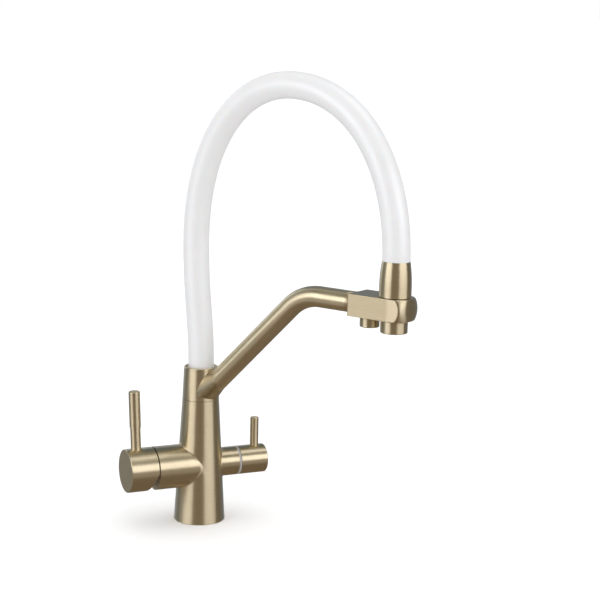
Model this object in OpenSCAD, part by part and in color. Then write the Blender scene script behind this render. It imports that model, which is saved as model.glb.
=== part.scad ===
// Three way kitchen tap: mixed hot and cold water by one lever, filtered water by another.
// Origin: centre of the column's foot on the worktop. +Z is up, the levers' shared axis lies
// along X with the mixer towards -X, and the user stands at -Y. All sizes are millimetres.

/* [Column] */
// Diameter of the column at the worktop
base_d = 50; // [46:0.5:60]
// Diameter of the column at the swivel seam
seam_d = 35.8; // [34:0.2:40]
// Height of the column up to the swivel seam
column_h = 122; // [112:1:150]
// Height of the levers' shared axis above the worktop
axis_z = 55.5; // [50:0.5:64]

/* [Mixer side] */
// Outer diameter of the mixer boss and of its handle cap
mixer_d = 42.4; // [41:0.2:44]
// Distance from the column's axis to the end of the mixer boss
mixer_boss_s = 48.3; // [47:0.1:56]
// Gap between the mixer boss and the handle cap
handle_gap = 1.2; // [0.9:0.1:2]
// Length of the handle cap
cap_l = 27.6; // [25:0.2:34]
// Diameter of the cartridge
cartridge_d = 35; // [34:0.5:35.5]
// Distance from the column's axis to the seat of the cartridge
cartridge_seat_s = 16; // [15:0.5:17]
// Distance from the column's axis to the pivot of the handle
pivot_s = 33; // [32:0.5:34]
// Tilt of the handle from shut to fully open, in degrees
tilt_max = 20; // [10:1:20]
// Distance from the column's axis to the foot of the lever rod
lever_s = 65.7; // [65:0.1:68]
// Outward lean of the lever rod, in degrees
lever_lean = 2.2; // [0:0.1:4]
// Diameter of the lever rod below its grip
lever_rod_d = 9.9; // [9:0.1:11]
// Diameter of the lever's grip
lever_grip_d = 11; // [10.5:0.1:13]
// Length of the lever from the handle's axis to its tip
lever_l = 78.6; // [60:0.2:100]
// Length of the lever's grip
lever_grip_l = 35.6; // [20:0.2:50]

/* [Filter side] */
// Outer diameter of the filter boss and of its knob
filter_d = 28.4; // [28:0.2:31]
// Distance from the column's axis to the end of the filter boss
filter_boss_s = 37; // [36:0.2:44]
// Width of the white ring between boss and knob
gap_ring_w = 2.3; // [1.5:0.1:3]
// Length of the filter knob
filter_knob_l = 27.9; // [24:0.1:34]
// Distance from the column's axis to the filter lever
filter_pin_s = 57.6; // [56:0.1:59]
// Diameter of the filter lever
filter_pin_d = 8.3; // [7:0.1:9]
// Length of the filter lever from the knob's axis to its tip
filter_pin_l = 42.5; // [30:0.5:60]

/* [Swivel collar] */
// Gap of the seam between column and collar
seam_gap = 0.4; // [0.3:0.1:0.8]
// Height of the swivel collar
collar_h = 31.8; // [31:0.2:36]
// Diameter of the collar at its top
collar_top_d = 33.2; // [32:0.2:36]
// Diameter of the journal that the collar turns on
journal_d = 26.4; // [25.6:0.2:26.8]

/* [Support arm] */
// Outer diameter of the arm tube
arm_d = 19.6; // [18:0.2:20]
// Wall of the arm tube
arm_wall = 1.8; // [1.2:0.1:2.4]
// Share of the reach at which the arm's rising stretch meets its level one
arm_bend_share = 0.5455; // [0.5:0.0005:0.6]
// Height of the arm's level stretch
arm_z = 240.6; // [220:0.2:270]
// Centre line radius of the arm's bend
arm_bend_r = 48; // [36:1:60]
// Turn of the spout about the column at rest, from +X, in degrees
rest_swing = -61.2; // [-180:0.1:180]

/* [Head block] */
// Distance from the column's axis to the main outlet
reach = 222; // [205:1:250]
// Distance from the main outlet back to the block's rear face
block_back = 40.8; // [38:0.2:48]
// Width of the block
block_w = 31; // [29:0.2:32]
// Height of the block
block_h = 20.4; // [20:0.2:24]
// Radius of the ball that trims the block's free end
block_ball_r = 20.6; // [19.5:0.1:22]
// Distance from the main outlet to the flat on the block's free end
block_flat = 17.7; // [17:0.1:19]
// Diameter of the hose ferrule where it is widest
ferrule_d = 29; // [28:0.2:30]
// Diameter of the hose ferrule at its top
ferrule_top_d = 25.2; // [24:0.2:26]
// Height of the hose ferrule
ferrule_h = 31.6; // [26:0.2:36]

/* [Outlets] */
// Diameter of the main outlet
main_outlet_d = 24.5; // [23.5:0.1:26]
// Drop of the main outlet below the block
main_outlet_drop = 11.7; // [9:0.1:16]
// Diameter of the filtered water outlet
filter_outlet_d = 17.9; // [16:0.1:18.6]
// Drop of the filtered water outlet below the block
filter_outlet_drop = 9.8; // [8:0.1:14]
// Distance from the main outlet back to the filtered water outlet
filter_outlet_back = 26.2; // [25.8:0.1:27]

/* [Hose] */
// Outer diameter of the silicone hose
hose_d = 25; // [24:0.2:26]
// Bore of the silicone hose
hose_bore_d = 16.6; // [16.2:0.2:19]
// Outer diameter of the water hose inside it
water_hose_d = 16; // [14:0.2:16]
// Bore of the water hose
water_hose_bore_d = 10; // [9.8:0.2:12]
// Height of the top of the hose's centre line
hose_top_z = 431.4; // [380:0.2:480]
// Distance of that top from the column's axis
hose_top_s = 103; // [90:1:120]
// Bow of the hose behind the column
hose_bow = 8.2; // [0:0.1:20]
// Height at which the hose bows out the most
hose_bow_z = 278; // [240:1:300]

/* [Water ways and threads] */
// Minor diameter of the inlet threads, M10x1
inlet_d = 8.92; // [8.8:0.02:9.1]
// Depth of the inlet threads
inlet_thread_l = 14; // [10:1:18]
// Minor diameter of the fixing stud's thread, M8
stud_d = 6.65; // [6.6:0.01:6.8]
// Depth of the fixing stud's thread
stud_thread_l = 18; // [12:1:22]
// Distance from the column's axis to the hot and cold inlets, along X
inlet_pair_x = 9; // [8.5:0.1:10]
// Distance from the column's axis to the hot and cold inlets, along Y
inlet_pair_y = 9.6; // [9:0.1:11]
// Distance from the column's axis to the filtered water inlet
inlet_filter_x = 12; // [10.5:0.1:12.5]

/* [Fits] */
// Radial gap of a turning fit
turn_fit = 0.05; // [0.02:0.01:0.08]
// Radial gap of a fixed fit
seat_fit = 0.05; // [0.02:0.01:0.1]
// Gap between faces that pass each other
face_gap = 0.3; // [0.2:0.05:0.4]
// Gap between the lapped ceramic discs
lap_gap = 0.05; // [0.02:0.01:0.1]

/* [Hidden] */
$fn = 64;
bite = 0.5; // how far a cut runs past the face it opens

// Finishes
brass = "#c8b088";
steel = "#b9bcc0";
white = "#eeeeea";
rubber = "#2b2b2b";
ceramic = "#e4e0d8";
plastic = "#5d6670";

// Column
function cone_r(z) = (base_d + (seam_d - base_d) * z / column_h) / 2;
core_thread_r = 7.2;   // spigot thread in the column's top
core_thread_l = 20;
core_bore_r = 5;
gasket_r = 22;
gasket_w = 3;
gasket_t = 2;
foot_edge = 0.5;
rise_x = 9.4;          // filtered water's way up beside the spigot's thread
rise_r = 1.3;

// Mixer cartridge, counted along the lever axis from the column's axis
mixer_r = mixer_d / 2;
cartridge_r = cartridge_d / 2;
housing_wall = 2.4;
chamber_r = cartridge_r - housing_wall;
base_plate_t = 3;
mixer_disc_t = 3;
base_s = cartridge_seat_s + 0.3;
fixed_disc_s = base_s + base_plate_t;
moving_disc_s = fixed_disc_s + mixer_disc_t + lap_gap;
carrier_s = moving_disc_s + mixer_disc_t;
carrier_t = 3.4;
carrier_r = 10.5;
pocket_r = 7;          // recess of the moving disc, and how far it sits below the middle
pocket_drop = 2;
fixed_disc_r = chamber_r - 1.2;
rotor_s = carrier_s + carrier_t + 0.4;
rotor_end_s = pivot_s + 3;
housing_end_s = rotor_end_s + 2;
nut_l = 6.6;
nut_hole_r = 11.5;
trim_s = housing_end_s + nut_l;
trim_end_s = mixer_boss_s - face_gap;
pivot_pin_d = 3;
stem_w = 8;
ball_r = 1.6;
ball_neck_r = 1.1;
ball_s = carrier_s + 1.8;
rotor_slot = stem_w + 0.6;
port_spread = 8.5;     // ports of the cartridge from its centre
port_rise = 5;

// Handle cap
cap_s = mixer_boss_s + handle_gap;
relief_angle = tilt_max + 3;  // the cap's back, cut away below so that it clears the boss at full tilt
cap_end_s = cap_s + cap_l;
cap_wall = 3;
cap_front = 17;        // solid front of the cap
cap_hub_r = 8.5;
cap_hub_s = cap_s + 3.6;
cap_edge = 0.9;
stem_end_s = cap_end_s - 6;
lever_seat_h = mixer_r - 2;   // where the rod's shoulder sits in the cap
lever_thread_r = 3;
lever_thread_l = 8;
lever_core_r = 4;
tip_round = 0.7;
grub_r = 2.5;
grub_l = 5;

// Filter valve, counted the same way on the other side
filter_r = filter_d / 2;
filter_seat_s = 16;
link_rise = 20;
link_z = axis_z + link_rise;
link_x = filter_seat_s + 1.9;
valve_r = 10.3;
valve_chamber_r = 8.5;
valve_neck_r = 8;
valve_seal_t = 1.2;
filter_disc_t = 3;
disc_port_w = 4;
fixed_filter_s = filter_seat_s + valve_seal_t;
moving_filter_s = fixed_filter_s + filter_disc_t + lap_gap;
drive_s = moving_filter_s + filter_disc_t;
drive_t = 2.2;
valve_chamber_end_s = drive_s + drive_t + 0.1;
ring_end_s = filter_boss_s + gap_ring_w;
valve_end_s = ring_end_s + 2.2;
spindle_r = 4;
spindle_end_s = filter_pin_s - filter_pin_d / 2 - 0.8;
knob_s = ring_end_s + face_gap;
knob_end_s = knob_s + filter_knob_l;
knob_wall = 2.4;
knob_pocket = valve_end_s + 1 - knob_s;
knob_edge = 0.8;
pin_seat_h = filter_r - 1.5;
pin_thread_r = 2.5;
pin_thread_l = 6;
knob_screw_s = knob_s + knob_pocket + 4;

// Swivel, heights in the part's frame
collar_z = column_h + seam_gap;
collar_top_z = collar_z + collar_h;
journal_r = journal_d / 2;
journal_h = 23.6;
journal_top_z = collar_z + journal_h;
slide_ring_t = 1.4;
slide_ring_r = seam_d / 2 - 1.4;
gallery_rise = 8.5;
gallery_z = column_h + gallery_rise;   // middle of the filtered water's ring groove
gallery_h = 6;
gallery_r = journal_r - 4.2;
seal_cord_r = 0.95;
seal_groove_w = 2.2;
seal_groove_r = journal_r - 1.9;
seal_low_z = gallery_z - gallery_h / 2 - 2.7;
seal_high_z = gallery_z + gallery_h / 2 + 2.7;
stop_rise = 12.2;
stop_z = gallery_z + stop_rise;
stop_groove_w = 3.2;
stop_tip_r = 1.3;
hose_seat_depth = 3;
hose_seat_z = collar_top_z - hose_seat_depth;
collar_roof_z = journal_top_z + 1.6;
collar_edge = 1.2;
nipple_r = water_hose_bore_d / 2 - 0.4;
nipple_bore_r = 3.4;
nipple_thread_r = 6;
nipple_l = 10;

// Arm, in the spout's own frame where it runs along +X
arm_r = arm_d / 2;
arm_bore_r = arm_r - arm_wall;
arm_root_z = column_h;        // the arm's centre line springs from the column's axis here
arm_corner_s = reach * arm_bend_share;
arm_rise = atan2(arm_z - arm_root_z, arm_corner_s);
arm_tangent = arm_bend_r * tan(arm_rise / 2);
arm_low_l = (arm_z - arm_root_z) / sin(arm_rise) - arm_tangent;
arm_skip = 9;                 // the tube starts this far out, inside the collar
arm_level_s = arm_corner_s + arm_tangent;
sleeve_r = arm_bore_r - seat_fit;
sleeve_bore_r = sleeve_r - 1.8;
sleeve_in = 10;
sleeve_out = 7.5;

// Head
block_s = reach - block_back;
block_low_z = arm_z - block_h / 2;
block_top_z = arm_z + block_h / 2;
filter_out_s = reach - filter_outlet_back;
sleeve_o_ring_s = block_s + 5.9;
head_screw_s = block_s + 2.8;
head_bore_r = 5;
washer_t = 0.6;
ferrule_z = block_top_z + washer_t;
ferrule_top_z = ferrule_z + ferrule_h;
ferrule_barrel = 0.72;        // share of the ferrule's height that curves in
ferrule_bore_r = ferrule_top_d / 2 - 2;
head_thread_r = 7;
head_thread_l = 6;
outlet_edge = 0.8;
outlet_wall = 1.7;
main_thread_r = 9;
main_thread_l = 5;
filter_thread_r = 6.4;
filter_thread_l = 3;
aerator_lip = 1;
aerator_rim = 1.2;
washer_h = 1.4;
mesh_hole_r = 0.75;
mesh_pitch = 2.3;

// Hose centre line: three curves from the collar, by way of the bow and the top, to the ferrule
foot_pull = 49;
bow_pull_low = 54;
bow_pull_high = 98;
top_pull_back = 60;
top_pull_on = 70;
end_pull = 88;
hose_steps = 20;              // rings on each curve
hose_sides = 24;
water_hose_sides = 16;

// ---- Shared shapes ----

module ring(r_out, r_in, h) {
    difference() {
        cylinder(r = r_out, h = h);
        translate([0, 0, -bite]) cylinder(r = r_in, h = h + 2 * bite);
    }
}

module o_ring(r_mid, r_cord) {
    rotate_extrude() translate([r_mid, 0]) circle(r = r_cord);
}

// A disc or rod whose far edge is rounded
module round_rod(r, h, edge) {
    rotate_extrude() {
        square([r, h - edge]);
        square([r - edge, h]);
        translate([r - edge, h - edge]) intersection() {
            circle(r = edge);
            square(edge);
        }
    }
}

// Places a child, drawn along +Z, on the mixer side; its own +X then points up
module mixer_side(s) {
    translate([-s, 0, axis_z]) rotate([0, -90, 0]) children();
}

// Places a child, drawn along +Z, on the filter side; its own -X then points up
module filter_side(s) {
    translate([s, 0, axis_z]) rotate([0, 90, 0]) children();
}

// The spout's frame, in which the arm runs along +X
module spout_frame() {
    rotate([0, 0, rest_swing]) children();
}

// The lever rod's frame: +Z along the rod, origin on the handle's axis
module lever_frame() {
    translate([-lever_s, 0, axis_z]) rotate([0, -lever_lean, 0]) children();
}

// ---- Column and what is fixed in it ----

module inlet(x, y, way_r, way_top) {
    translate([x, y, -bite]) cylinder(r = inlet_d / 2, h = inlet_thread_l + bite);
    translate([x, y, 0]) cylinder(r = way_r, h = way_top);
}

module mixer_ways() {
    for (side = [-1, 1]) {
        inlet(-inlet_pair_x, side * inlet_pair_y, 3, axis_z + port_rise);
        translate([-inlet_pair_x, side * port_spread, axis_z + port_rise])
            rotate([0, -90, 0]) cylinder(r = 2.5, h = cartridge_seat_s - inlet_pair_x + bite);
    }
    translate([0, 0, axis_z - port_spread]) rotate([0, -90, 0])
        cylinder(r = 2.5, h = cartridge_seat_s + bite);
    translate([0, 0, axis_z - port_spread]) cylinder(r = 4, h = column_h - axis_z + port_spread - 1);
}

module filter_ways() {
    inlet(inlet_filter_x, 0, 2.6, axis_z - 2.5);
    translate([inlet_filter_x, 0, axis_z - 2.5]) rotate([0, 90, 0])
        cylinder(r = 2, h = filter_seat_s - inlet_filter_x + bite);
    // out of the valve along the top of its bore, then up and across
    translate([link_x, 0, axis_z + valve_r]) rotate([0, 90, 0]) cylinder(r = rise_r, h = drive_s - link_x);
    translate([link_x, 0, axis_z + valve_r - 0.5]) cylinder(r = rise_r, h = link_z - axis_z - valve_r + 0.5);
    translate([rise_x, 0, link_z]) rotate([0, 90, 0]) cylinder(r = rise_r, h = link_x - rise_x);
    translate([rise_x, 0, link_z]) cylinder(r = rise_r, h = column_h - link_z + bite);
}

module column_body() {
    color(brass) difference() {
        union() {
            translate([0, 0, foot_edge])
                cylinder(r1 = cone_r(foot_edge), r2 = cone_r(column_h), h = column_h - foot_edge);
            cylinder(r1 = cone_r(0) - foot_edge, r2 = cone_r(foot_edge), h = foot_edge);
            mixer_side(0) cylinder(r = mixer_r, h = mixer_boss_s);
            filter_side(0) cylinder(r = filter_r, h = filter_boss_s);
        }
        mixer_side(cartridge_seat_s) cylinder(r = cartridge_r, h = mixer_boss_s);
        filter_side(filter_seat_s) cylinder(r = valve_r, h = filter_boss_s);
        translate([0, 0, column_h - core_thread_l]) cylinder(r = core_thread_r, h = core_thread_l + bite);
        translate([0, 0, collar_z - slide_ring_t])
            ring(slide_ring_r + seat_fit, journal_r + seat_fit, slide_ring_t + bite);
        translate([0, 0, -bite]) ring(gasket_r + gasket_w / 2, gasket_r - gasket_w / 2, gasket_t + bite);
        translate([0, 0, -bite]) cylinder(r = stud_d / 2, h = stud_thread_l + bite);
        mixer_ways();
        filter_ways();
    }
}

module base_gasket() {
    color(rubber) ring(gasket_r + gasket_w / 2 - seat_fit, gasket_r - gasket_w / 2 + seat_fit, gasket_t);
}

module cartridge_housing() {
    color(plastic) mixer_side(base_s) difference() {
        cylinder(r = cartridge_r - seat_fit, h = housing_end_s - base_s);
        translate([0, 0, -bite]) cylinder(r = chamber_r, h = rotor_end_s + face_gap - base_s + bite);
        cylinder(r = nut_hole_r - 3, h = housing_end_s);
    }
}

// Two inlets above the middle of the cartridge and its outlet below, as [up, across]
cartridge_ports = [[port_rise, -port_spread], [port_rise, port_spread], [-port_spread, 0]];

module cartridge_base() {
    color(plastic) mixer_side(base_s) difference() {
        cylinder(r = chamber_r - seat_fit, h = base_plate_t);
        for (p = cartridge_ports) translate([p[0], p[1], -bite]) cylinder(r = 2.2, h = base_plate_t + 2 * bite);
        for (p = cartridge_ports) translate([p[0], p[1], -bite]) cylinder(r = 4, h = 1.1 + bite);
    }
}

module cartridge_seals() {
    color(rubber) mixer_side(cartridge_seat_s + 0.7)
        for (p = cartridge_ports) translate([p[0], p[1], 0]) o_ring(3.1, 0.68);
}

module fixed_mixer_disc() {
    color(ceramic) mixer_side(fixed_disc_s) difference() {
        cylinder(r = fixed_disc_r, h = mixer_disc_t);
        for (p = cartridge_ports) translate([p[0] * 0.8, p[1] * 0.8, -bite])
            cylinder(r = 2, h = mixer_disc_t + 2 * bite);
    }
}

module cartridge_nut() {
    color(brass) mixer_side(housing_end_s) difference() {
        ring(cartridge_r - seat_fit, nut_hole_r, nut_l);
        for (turn = [0:60:300]) rotate([0, 0, turn]) translate([nut_hole_r + 2.6, 0, nut_l - 3])
            cylinder(r = 1.3, h = 3 + bite);
    }
}

module boss_trim_ring() {
    color(brass) mixer_side(trim_s) ring(cartridge_r - seat_fit, nut_hole_r + 1, trim_end_s - trim_s);
}

module filter_valve_body() {
    color(brass) filter_side(fixed_filter_s) difference() {
        union() {
            cylinder(r = valve_r - seat_fit, h = filter_boss_s - fixed_filter_s);
            cylinder(r = valve_neck_r, h = valve_end_s - fixed_filter_s);
        }
        translate([0, 0, -bite]) cylinder(r = valve_chamber_r, h = valve_chamber_end_s - fixed_filter_s + bite);
        cylinder(r = spindle_r + turn_fit, h = valve_end_s);
        // window towards the way up, and the spindle seal's groove
        translate([0, 0, drive_s - 1.4 - fixed_filter_s]) rotate([0, -90, 0]) cylinder(r = rise_r, h = valve_r + bite);
        translate([0, 0, filter_boss_s - fixed_filter_s - 2]) cylinder(r = spindle_r + 1.9, h = 2.2);
    }
}

module filter_seat_seal() {
    color(rubber) filter_side(filter_seat_s) ring(valve_r - 0.3, 5.6, valve_seal_t);
}

module fixed_filter_disc() {
    color(ceramic) filter_side(fixed_filter_s) difference() {
        cylinder(r = valve_chamber_r - seat_fit, h = filter_disc_t);
        for (side = [-1, 1]) translate([0, side * 3.2, -bite]) cylinder(r = 2, h = filter_disc_t + 2 * bite);
    }
}

module filter_gap_ring() {
    color(white) filter_side(filter_boss_s) ring(filter_r, valve_neck_r + seat_fit, gap_ring_w);
}

module groove(r_floor, w, z) {
    translate([0, 0, z - w / 2]) ring(journal_r + bite, r_floor, w);
}

module swivel_spigot() {
    color(brass) difference() {
        union() {
            translate([0, 0, column_h - core_thread_l + 1])
                cylinder(r = core_thread_r - seat_fit, h = core_thread_l);
            translate([0, 0, column_h]) cylinder(r = journal_r, h = journal_top_z - column_h);
        }
        translate([0, 0, column_h - core_thread_l]) cylinder(r = core_bore_r, h = core_thread_l + journal_top_z);
        translate([rise_x, 0, column_h - bite]) cylinder(r = rise_r, h = gallery_z - column_h + bite);
        groove(gallery_r, gallery_h, gallery_z);
        groove(seal_groove_r, seal_groove_w, seal_low_z);
        groove(seal_groove_r, seal_groove_w, seal_high_z);
        groove(seal_groove_r, stop_groove_w, stop_z);
    }
}

module swivel_o_rings() {
    color(rubber) for (z = [seal_low_z, seal_high_z])
        translate([0, 0, z]) o_ring(seal_groove_r + seal_cord_r, seal_cord_r - 0.01);
}

module swivel_slide_ring() {
    color(white) translate([0, 0, collar_z - slide_ring_t])
        ring(slide_ring_r, journal_r + 2 * seat_fit, slide_ring_t - 0.02);
}

// ---- Cartridge: what turns, slides and tilts ----

module cartridge_rotor() {
    color(plastic) mixer_side(rotor_s) difference() {
        union() {
            cylinder(r = chamber_r - turn_fit, h = rotor_end_s - rotor_s);
            cylinder(r = nut_hole_r - 3 - turn_fit, h = housing_end_s - rotor_s);
        }
        // slot that the stem tilts in
        translate([-nut_hole_r, -rotor_slot / 2, -bite]) cube([2 * nut_hole_r, rotor_slot, stem_end_s - rotor_s]);
        translate([0, 0, pivot_s - rotor_s]) rotate([90, 0, 0])
            cylinder(r = pivot_pin_d / 2 + seat_fit, h = 4 * chamber_r, center = true);
    }
}

module lever_pivot_pin() {
    color(steel) mixer_side(pivot_s) rotate([90, 0, 0])
        cylinder(r = pivot_pin_d / 2, h = 2 * chamber_r - 4, center = true);
}

module moving_mixer_disc() {
    color(ceramic) mixer_side(moving_disc_s) difference() {
        cylinder(r = carrier_r, h = mixer_disc_t);
        translate([-pocket_drop, 0, -bite]) cylinder(r = pocket_r, h = 1.6 + bite);
    }
}

module disc_carrier() {
    color(plastic) mixer_side(carrier_s) difference() {
        cylinder(r = carrier_r, h = carrier_t);
        translate([0, 0, -bite]) cylinder(r = ball_r + 0.12, h = carrier_t + 2 * bite);
        translate([0, 0, carrier_t - 1.3]) cylinder(r1 = ball_r + 0.12, r2 = ball_r + 1.5, h = 1.31);
    }
}

module cartridge_stem() {
    color(steel) difference() {
        union() {
            mixer_side(ball_s) sphere(r = ball_r);
            mixer_side(ball_s) cylinder(r = ball_neck_r, h = pivot_s - ball_s);
            mixer_side(pivot_s - 2.6) translate([-stem_w / 2, -stem_w / 2, 0])
                cube([stem_w, stem_w, stem_end_s - pivot_s + 2.6]);
        }
        mixer_side(pivot_s) rotate([90, 0, 0])
            cylinder(r = pivot_pin_d / 2 + turn_fit, h = 2 * stem_w, center = true);
    }
}

// ---- Mixer handle ----

// What the back of the cap loses so that it can swing past the boss
module tilt_relief() {
    mixer_side(cap_s) rotate([0, relief_angle, 0])
        translate([-3 * mixer_r, -2 * mixer_r, -2 * mixer_r]) cube([3 * mixer_r, 4 * mixer_r, 2 * mixer_r]);
}

module mixer_handle_cap() {
    color(brass) difference() {
        union() {
            difference() {
                mixer_side(cap_s) round_rod(mixer_r, cap_l, cap_edge);
                mixer_side(cap_s - bite) cylinder(r = mixer_r - cap_wall, h = cap_l - cap_front + bite);
            }
            mixer_side(cap_hub_s) cylinder(r = cap_hub_r, h = cap_end_s - cap_hub_s - cap_edge);
        }
        tilt_relief();
        mixer_side(cap_hub_s - bite) translate([-stem_w / 2 - seat_fit, -stem_w / 2 - seat_fit, 0])
            cube([stem_w + 2 * seat_fit, stem_w + 2 * seat_fit, stem_end_s + seat_fit - cap_hub_s + bite]);
        lever_frame() translate([0, 0, lever_seat_h]) cylinder(r = lever_rod_d / 2 + seat_fit, h = mixer_r);
        lever_frame() cylinder(r = lever_thread_r + seat_fit, h = mixer_r);
        // grub screw from below
        translate([-lever_s, 0, axis_z - 2 * mixer_r]) cylinder(r = grub_r + seat_fit, h = 2 * mixer_r);
    }
}

module mixer_lever_rod() {
    color(brass) lever_frame() {
        translate([0, 0, lever_seat_h - lever_thread_l]) cylinder(r = lever_thread_r, h = lever_thread_l);
        translate([0, 0, lever_seat_h]) cylinder(r = lever_rod_d / 2, h = lever_l - lever_grip_l - lever_seat_h);
        translate([0, 0, lever_l - lever_grip_l - bite]) cylinder(r = lever_core_r, h = lever_grip_l - 4);
    }
}

module mixer_lever_grip() {
    color(brass) lever_frame() translate([0, 0, lever_l - lever_grip_l]) difference() {
        round_rod(lever_grip_d / 2, lever_grip_l, tip_round);
        translate([0, 0, -bite]) cylinder(r = lever_core_r + seat_fit, h = lever_grip_l - 4);
    }
}

module grub_screw(h) {
    difference() {
        cylinder(r = grub_r, h = h);
        translate([0, 0, -bite]) cylinder(r = 1.4, h = 2.5 + bite, $fn = 6);
    }
}

module mixer_grub_screw() {
    color(steel) translate([-lever_s, 0, axis_z - stem_w / 2 - seat_fit - grub_l]) grub_screw(grub_l);
}

// ---- Filter handle ----

module filter_spindle() {
    color(brass) {
        filter_side(drive_s) cylinder(r = valve_chamber_r - 0.3, h = drive_t);
        filter_side(drive_s) cylinder(r = spindle_r, h = spindle_end_s - drive_s);
    }
}

module moving_filter_disc() {
    color(ceramic) filter_side(moving_filter_s) difference() {
        cylinder(r = valve_chamber_r - 0.3, h = filter_disc_t);
        for (turn = [0, 180]) rotate([0, 0, turn])
            translate([1.2, -disc_port_w / 2, -bite]) cube([valve_chamber_r, disc_port_w, filter_disc_t - 1 + bite]);
    }
}

module filter_spindle_seal() {
    color(rubber) filter_side(filter_boss_s - 0.9) o_ring(spindle_r + 0.9, 0.85);
}

module filter_knob() {
    color(brass) difference() {
        filter_side(knob_s) round_rod(filter_r, filter_knob_l, knob_edge);
        filter_side(knob_s - bite) cylinder(r = filter_r - knob_wall, h = knob_pocket + bite);
        filter_side(knob_s) cylinder(r = spindle_r + seat_fit, h = spindle_end_s + seat_fit - knob_s);
        translate([filter_pin_s, 0, axis_z + pin_seat_h]) cylinder(r = filter_pin_d / 2 + seat_fit, h = filter_r);
        translate([filter_pin_s, 0, axis_z + pin_seat_h - pin_thread_l])
            cylinder(r = pin_thread_r + seat_fit, h = filter_r);
        translate([knob_screw_s, 0, axis_z - 2 * filter_r]) cylinder(r = grub_r + seat_fit, h = 2 * filter_r);
    }
}

module filter_lever_pin() {
    color(brass) translate([filter_pin_s, 0, axis_z]) {
        translate([0, 0, pin_seat_h]) round_rod(filter_pin_d / 2, filter_pin_l - pin_seat_h, tip_round);
        translate([0, 0, pin_seat_h - pin_thread_l]) cylinder(r = pin_thread_r, h = pin_thread_l + bite);
    }
}

module filter_grub_screw() {
    color(steel) translate([knob_screw_s, 0, axis_z - spindle_r - seat_fit - grub_l]) grub_screw(grub_l);
}

// ---- Swivel collar ----

// The collar's outer cone, carried on above and below it
module collar_cone(below, above, grow = 0) {
    slope = (seam_d - collar_top_d) / 2 / collar_h;
    translate([0, 0, collar_z - below]) cylinder(
        r1 = seam_d / 2 + slope * below + grow, r2 = collar_top_d / 2 - slope * above + grow,
        h = collar_h + below + above);
}

module collar_outline() {
    intersection() {
        collar_cone(0, 0);
        translate([0, 0, collar_z]) round_rod(collar_top_d / 2 + 0.06, collar_h, collar_edge);
    }
    difference() {
        collar_cone(0, 0);
        translate([0, 0, collar_top_z - 2 * collar_edge]) cylinder(r = seam_d, h = collar_h);
    }
}

module swivel_collar() {
    color(brass) spout_frame() difference() {
        collar_outline();
        translate([0, 0, collar_z - bite]) cylinder(r = journal_r + turn_fit, h = collar_roof_z - collar_z + bite);
        translate([0, 0, hose_seat_z]) cylinder(r = hose_d / 2 + 0.5, h = hose_seat_depth + bite);
        translate([0, 0, collar_roof_z - bite]) cylinder(r = nipple_thread_r + seat_fit, h = collar_h);
        // way from the ring groove out into the arm, and the stop screw's hole
        translate([0, 0, gallery_z]) rotate([0, 90, 0]) cylinder(r = gallery_h / 2 - 0.2, h = seam_d);
        translate([0, 0, stop_z]) rotate([0, -90, 0]) cylinder(r = grub_r - 0.5 + seat_fit, h = seam_d);
    }
}

module collar_stop_screw() {
    color(steel) spout_frame() translate([0, 0, stop_z]) rotate([0, -90, 0]) difference() {
        union() {
            translate([0, 0, seal_groove_r + 0.4]) cylinder(r = stop_tip_r, h = 3);
            translate([0, 0, journal_r + turn_fit + 0.2]) cylinder(r = grub_r - 0.5, h = 2.6);
        }
        translate([0, 0, journal_r + 1.6]) cylinder(r = 1, h = 3, $fn = 6);
    }
}

module hose_nipple(thread_r, thread_l) {
    difference() {
        union() {
            cylinder(r = nipple_r, h = nipple_l);
            translate([0, 0, -thread_l]) cylinder(r = thread_r, h = thread_l);
            for (step = [3, 7]) translate([0, 0, step]) cylinder(r1 = nipple_r + 0.15, r2 = nipple_r - 0.3, h = 2.6);
        }
        translate([0, 0, -thread_l - bite]) cylinder(r = nipple_bore_r, h = nipple_l + thread_l + 2 * bite);
    }
}

module collar_hose_nipple() {
    color(brass) translate([0, 0, hose_seat_z]) hose_nipple(nipple_thread_r, hose_seat_z - collar_roof_z);
}

// ---- Hose ----

function curve_at(a, b, c, d, t) =
    a * (1 - t) ^ 3 + 3 * b * t * (1 - t) ^ 2 + 3 * c * t ^ 2 * (1 - t) + d * t ^ 3;
function heading_at(a, b, c, d, t) =
    let (v = (b - a) * (1 - t) ^ 2 + 2 * (c - b) * t * (1 - t) + (d - c) * t ^ 2) v / norm(v);

hose_foot = [0, hose_seat_z];
hose_back = [-hose_bow, hose_bow_z];
hose_top = [hose_top_s, hose_top_z];
hose_end = [reach, ferrule_top_z];
hose_curves = [
    [hose_foot, hose_foot + [0, foot_pull], hose_back - [0, bow_pull_low], hose_back],
    [hose_back, hose_back + [0, bow_pull_high], hose_top - [top_pull_back, 0], hose_top],
    [hose_top, hose_top + [top_pull_on, 0], hose_end + [0, end_pull], hose_end]];
// Each entry is the centre and the heading of one ring
hose_rings = concat(
    [for (k = hose_curves) for (i = [0:hose_steps - 1]) let (t = i / hose_steps)
        [curve_at(k[0], k[1], k[2], k[3], t), heading_at(k[0], k[1], k[2], k[3], t)]],
    [[hose_end, [0, -1]]]);

function hose_circle(ring, r, sides) = [for (j = [0:sides - 1]) let (a = 360 * j / sides,
    side = [-ring[1][1], ring[1][0]] * r * cos(a))
    [ring[0][0] + side[0], r * sin(a), ring[0][1] + side[1]]];

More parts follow.
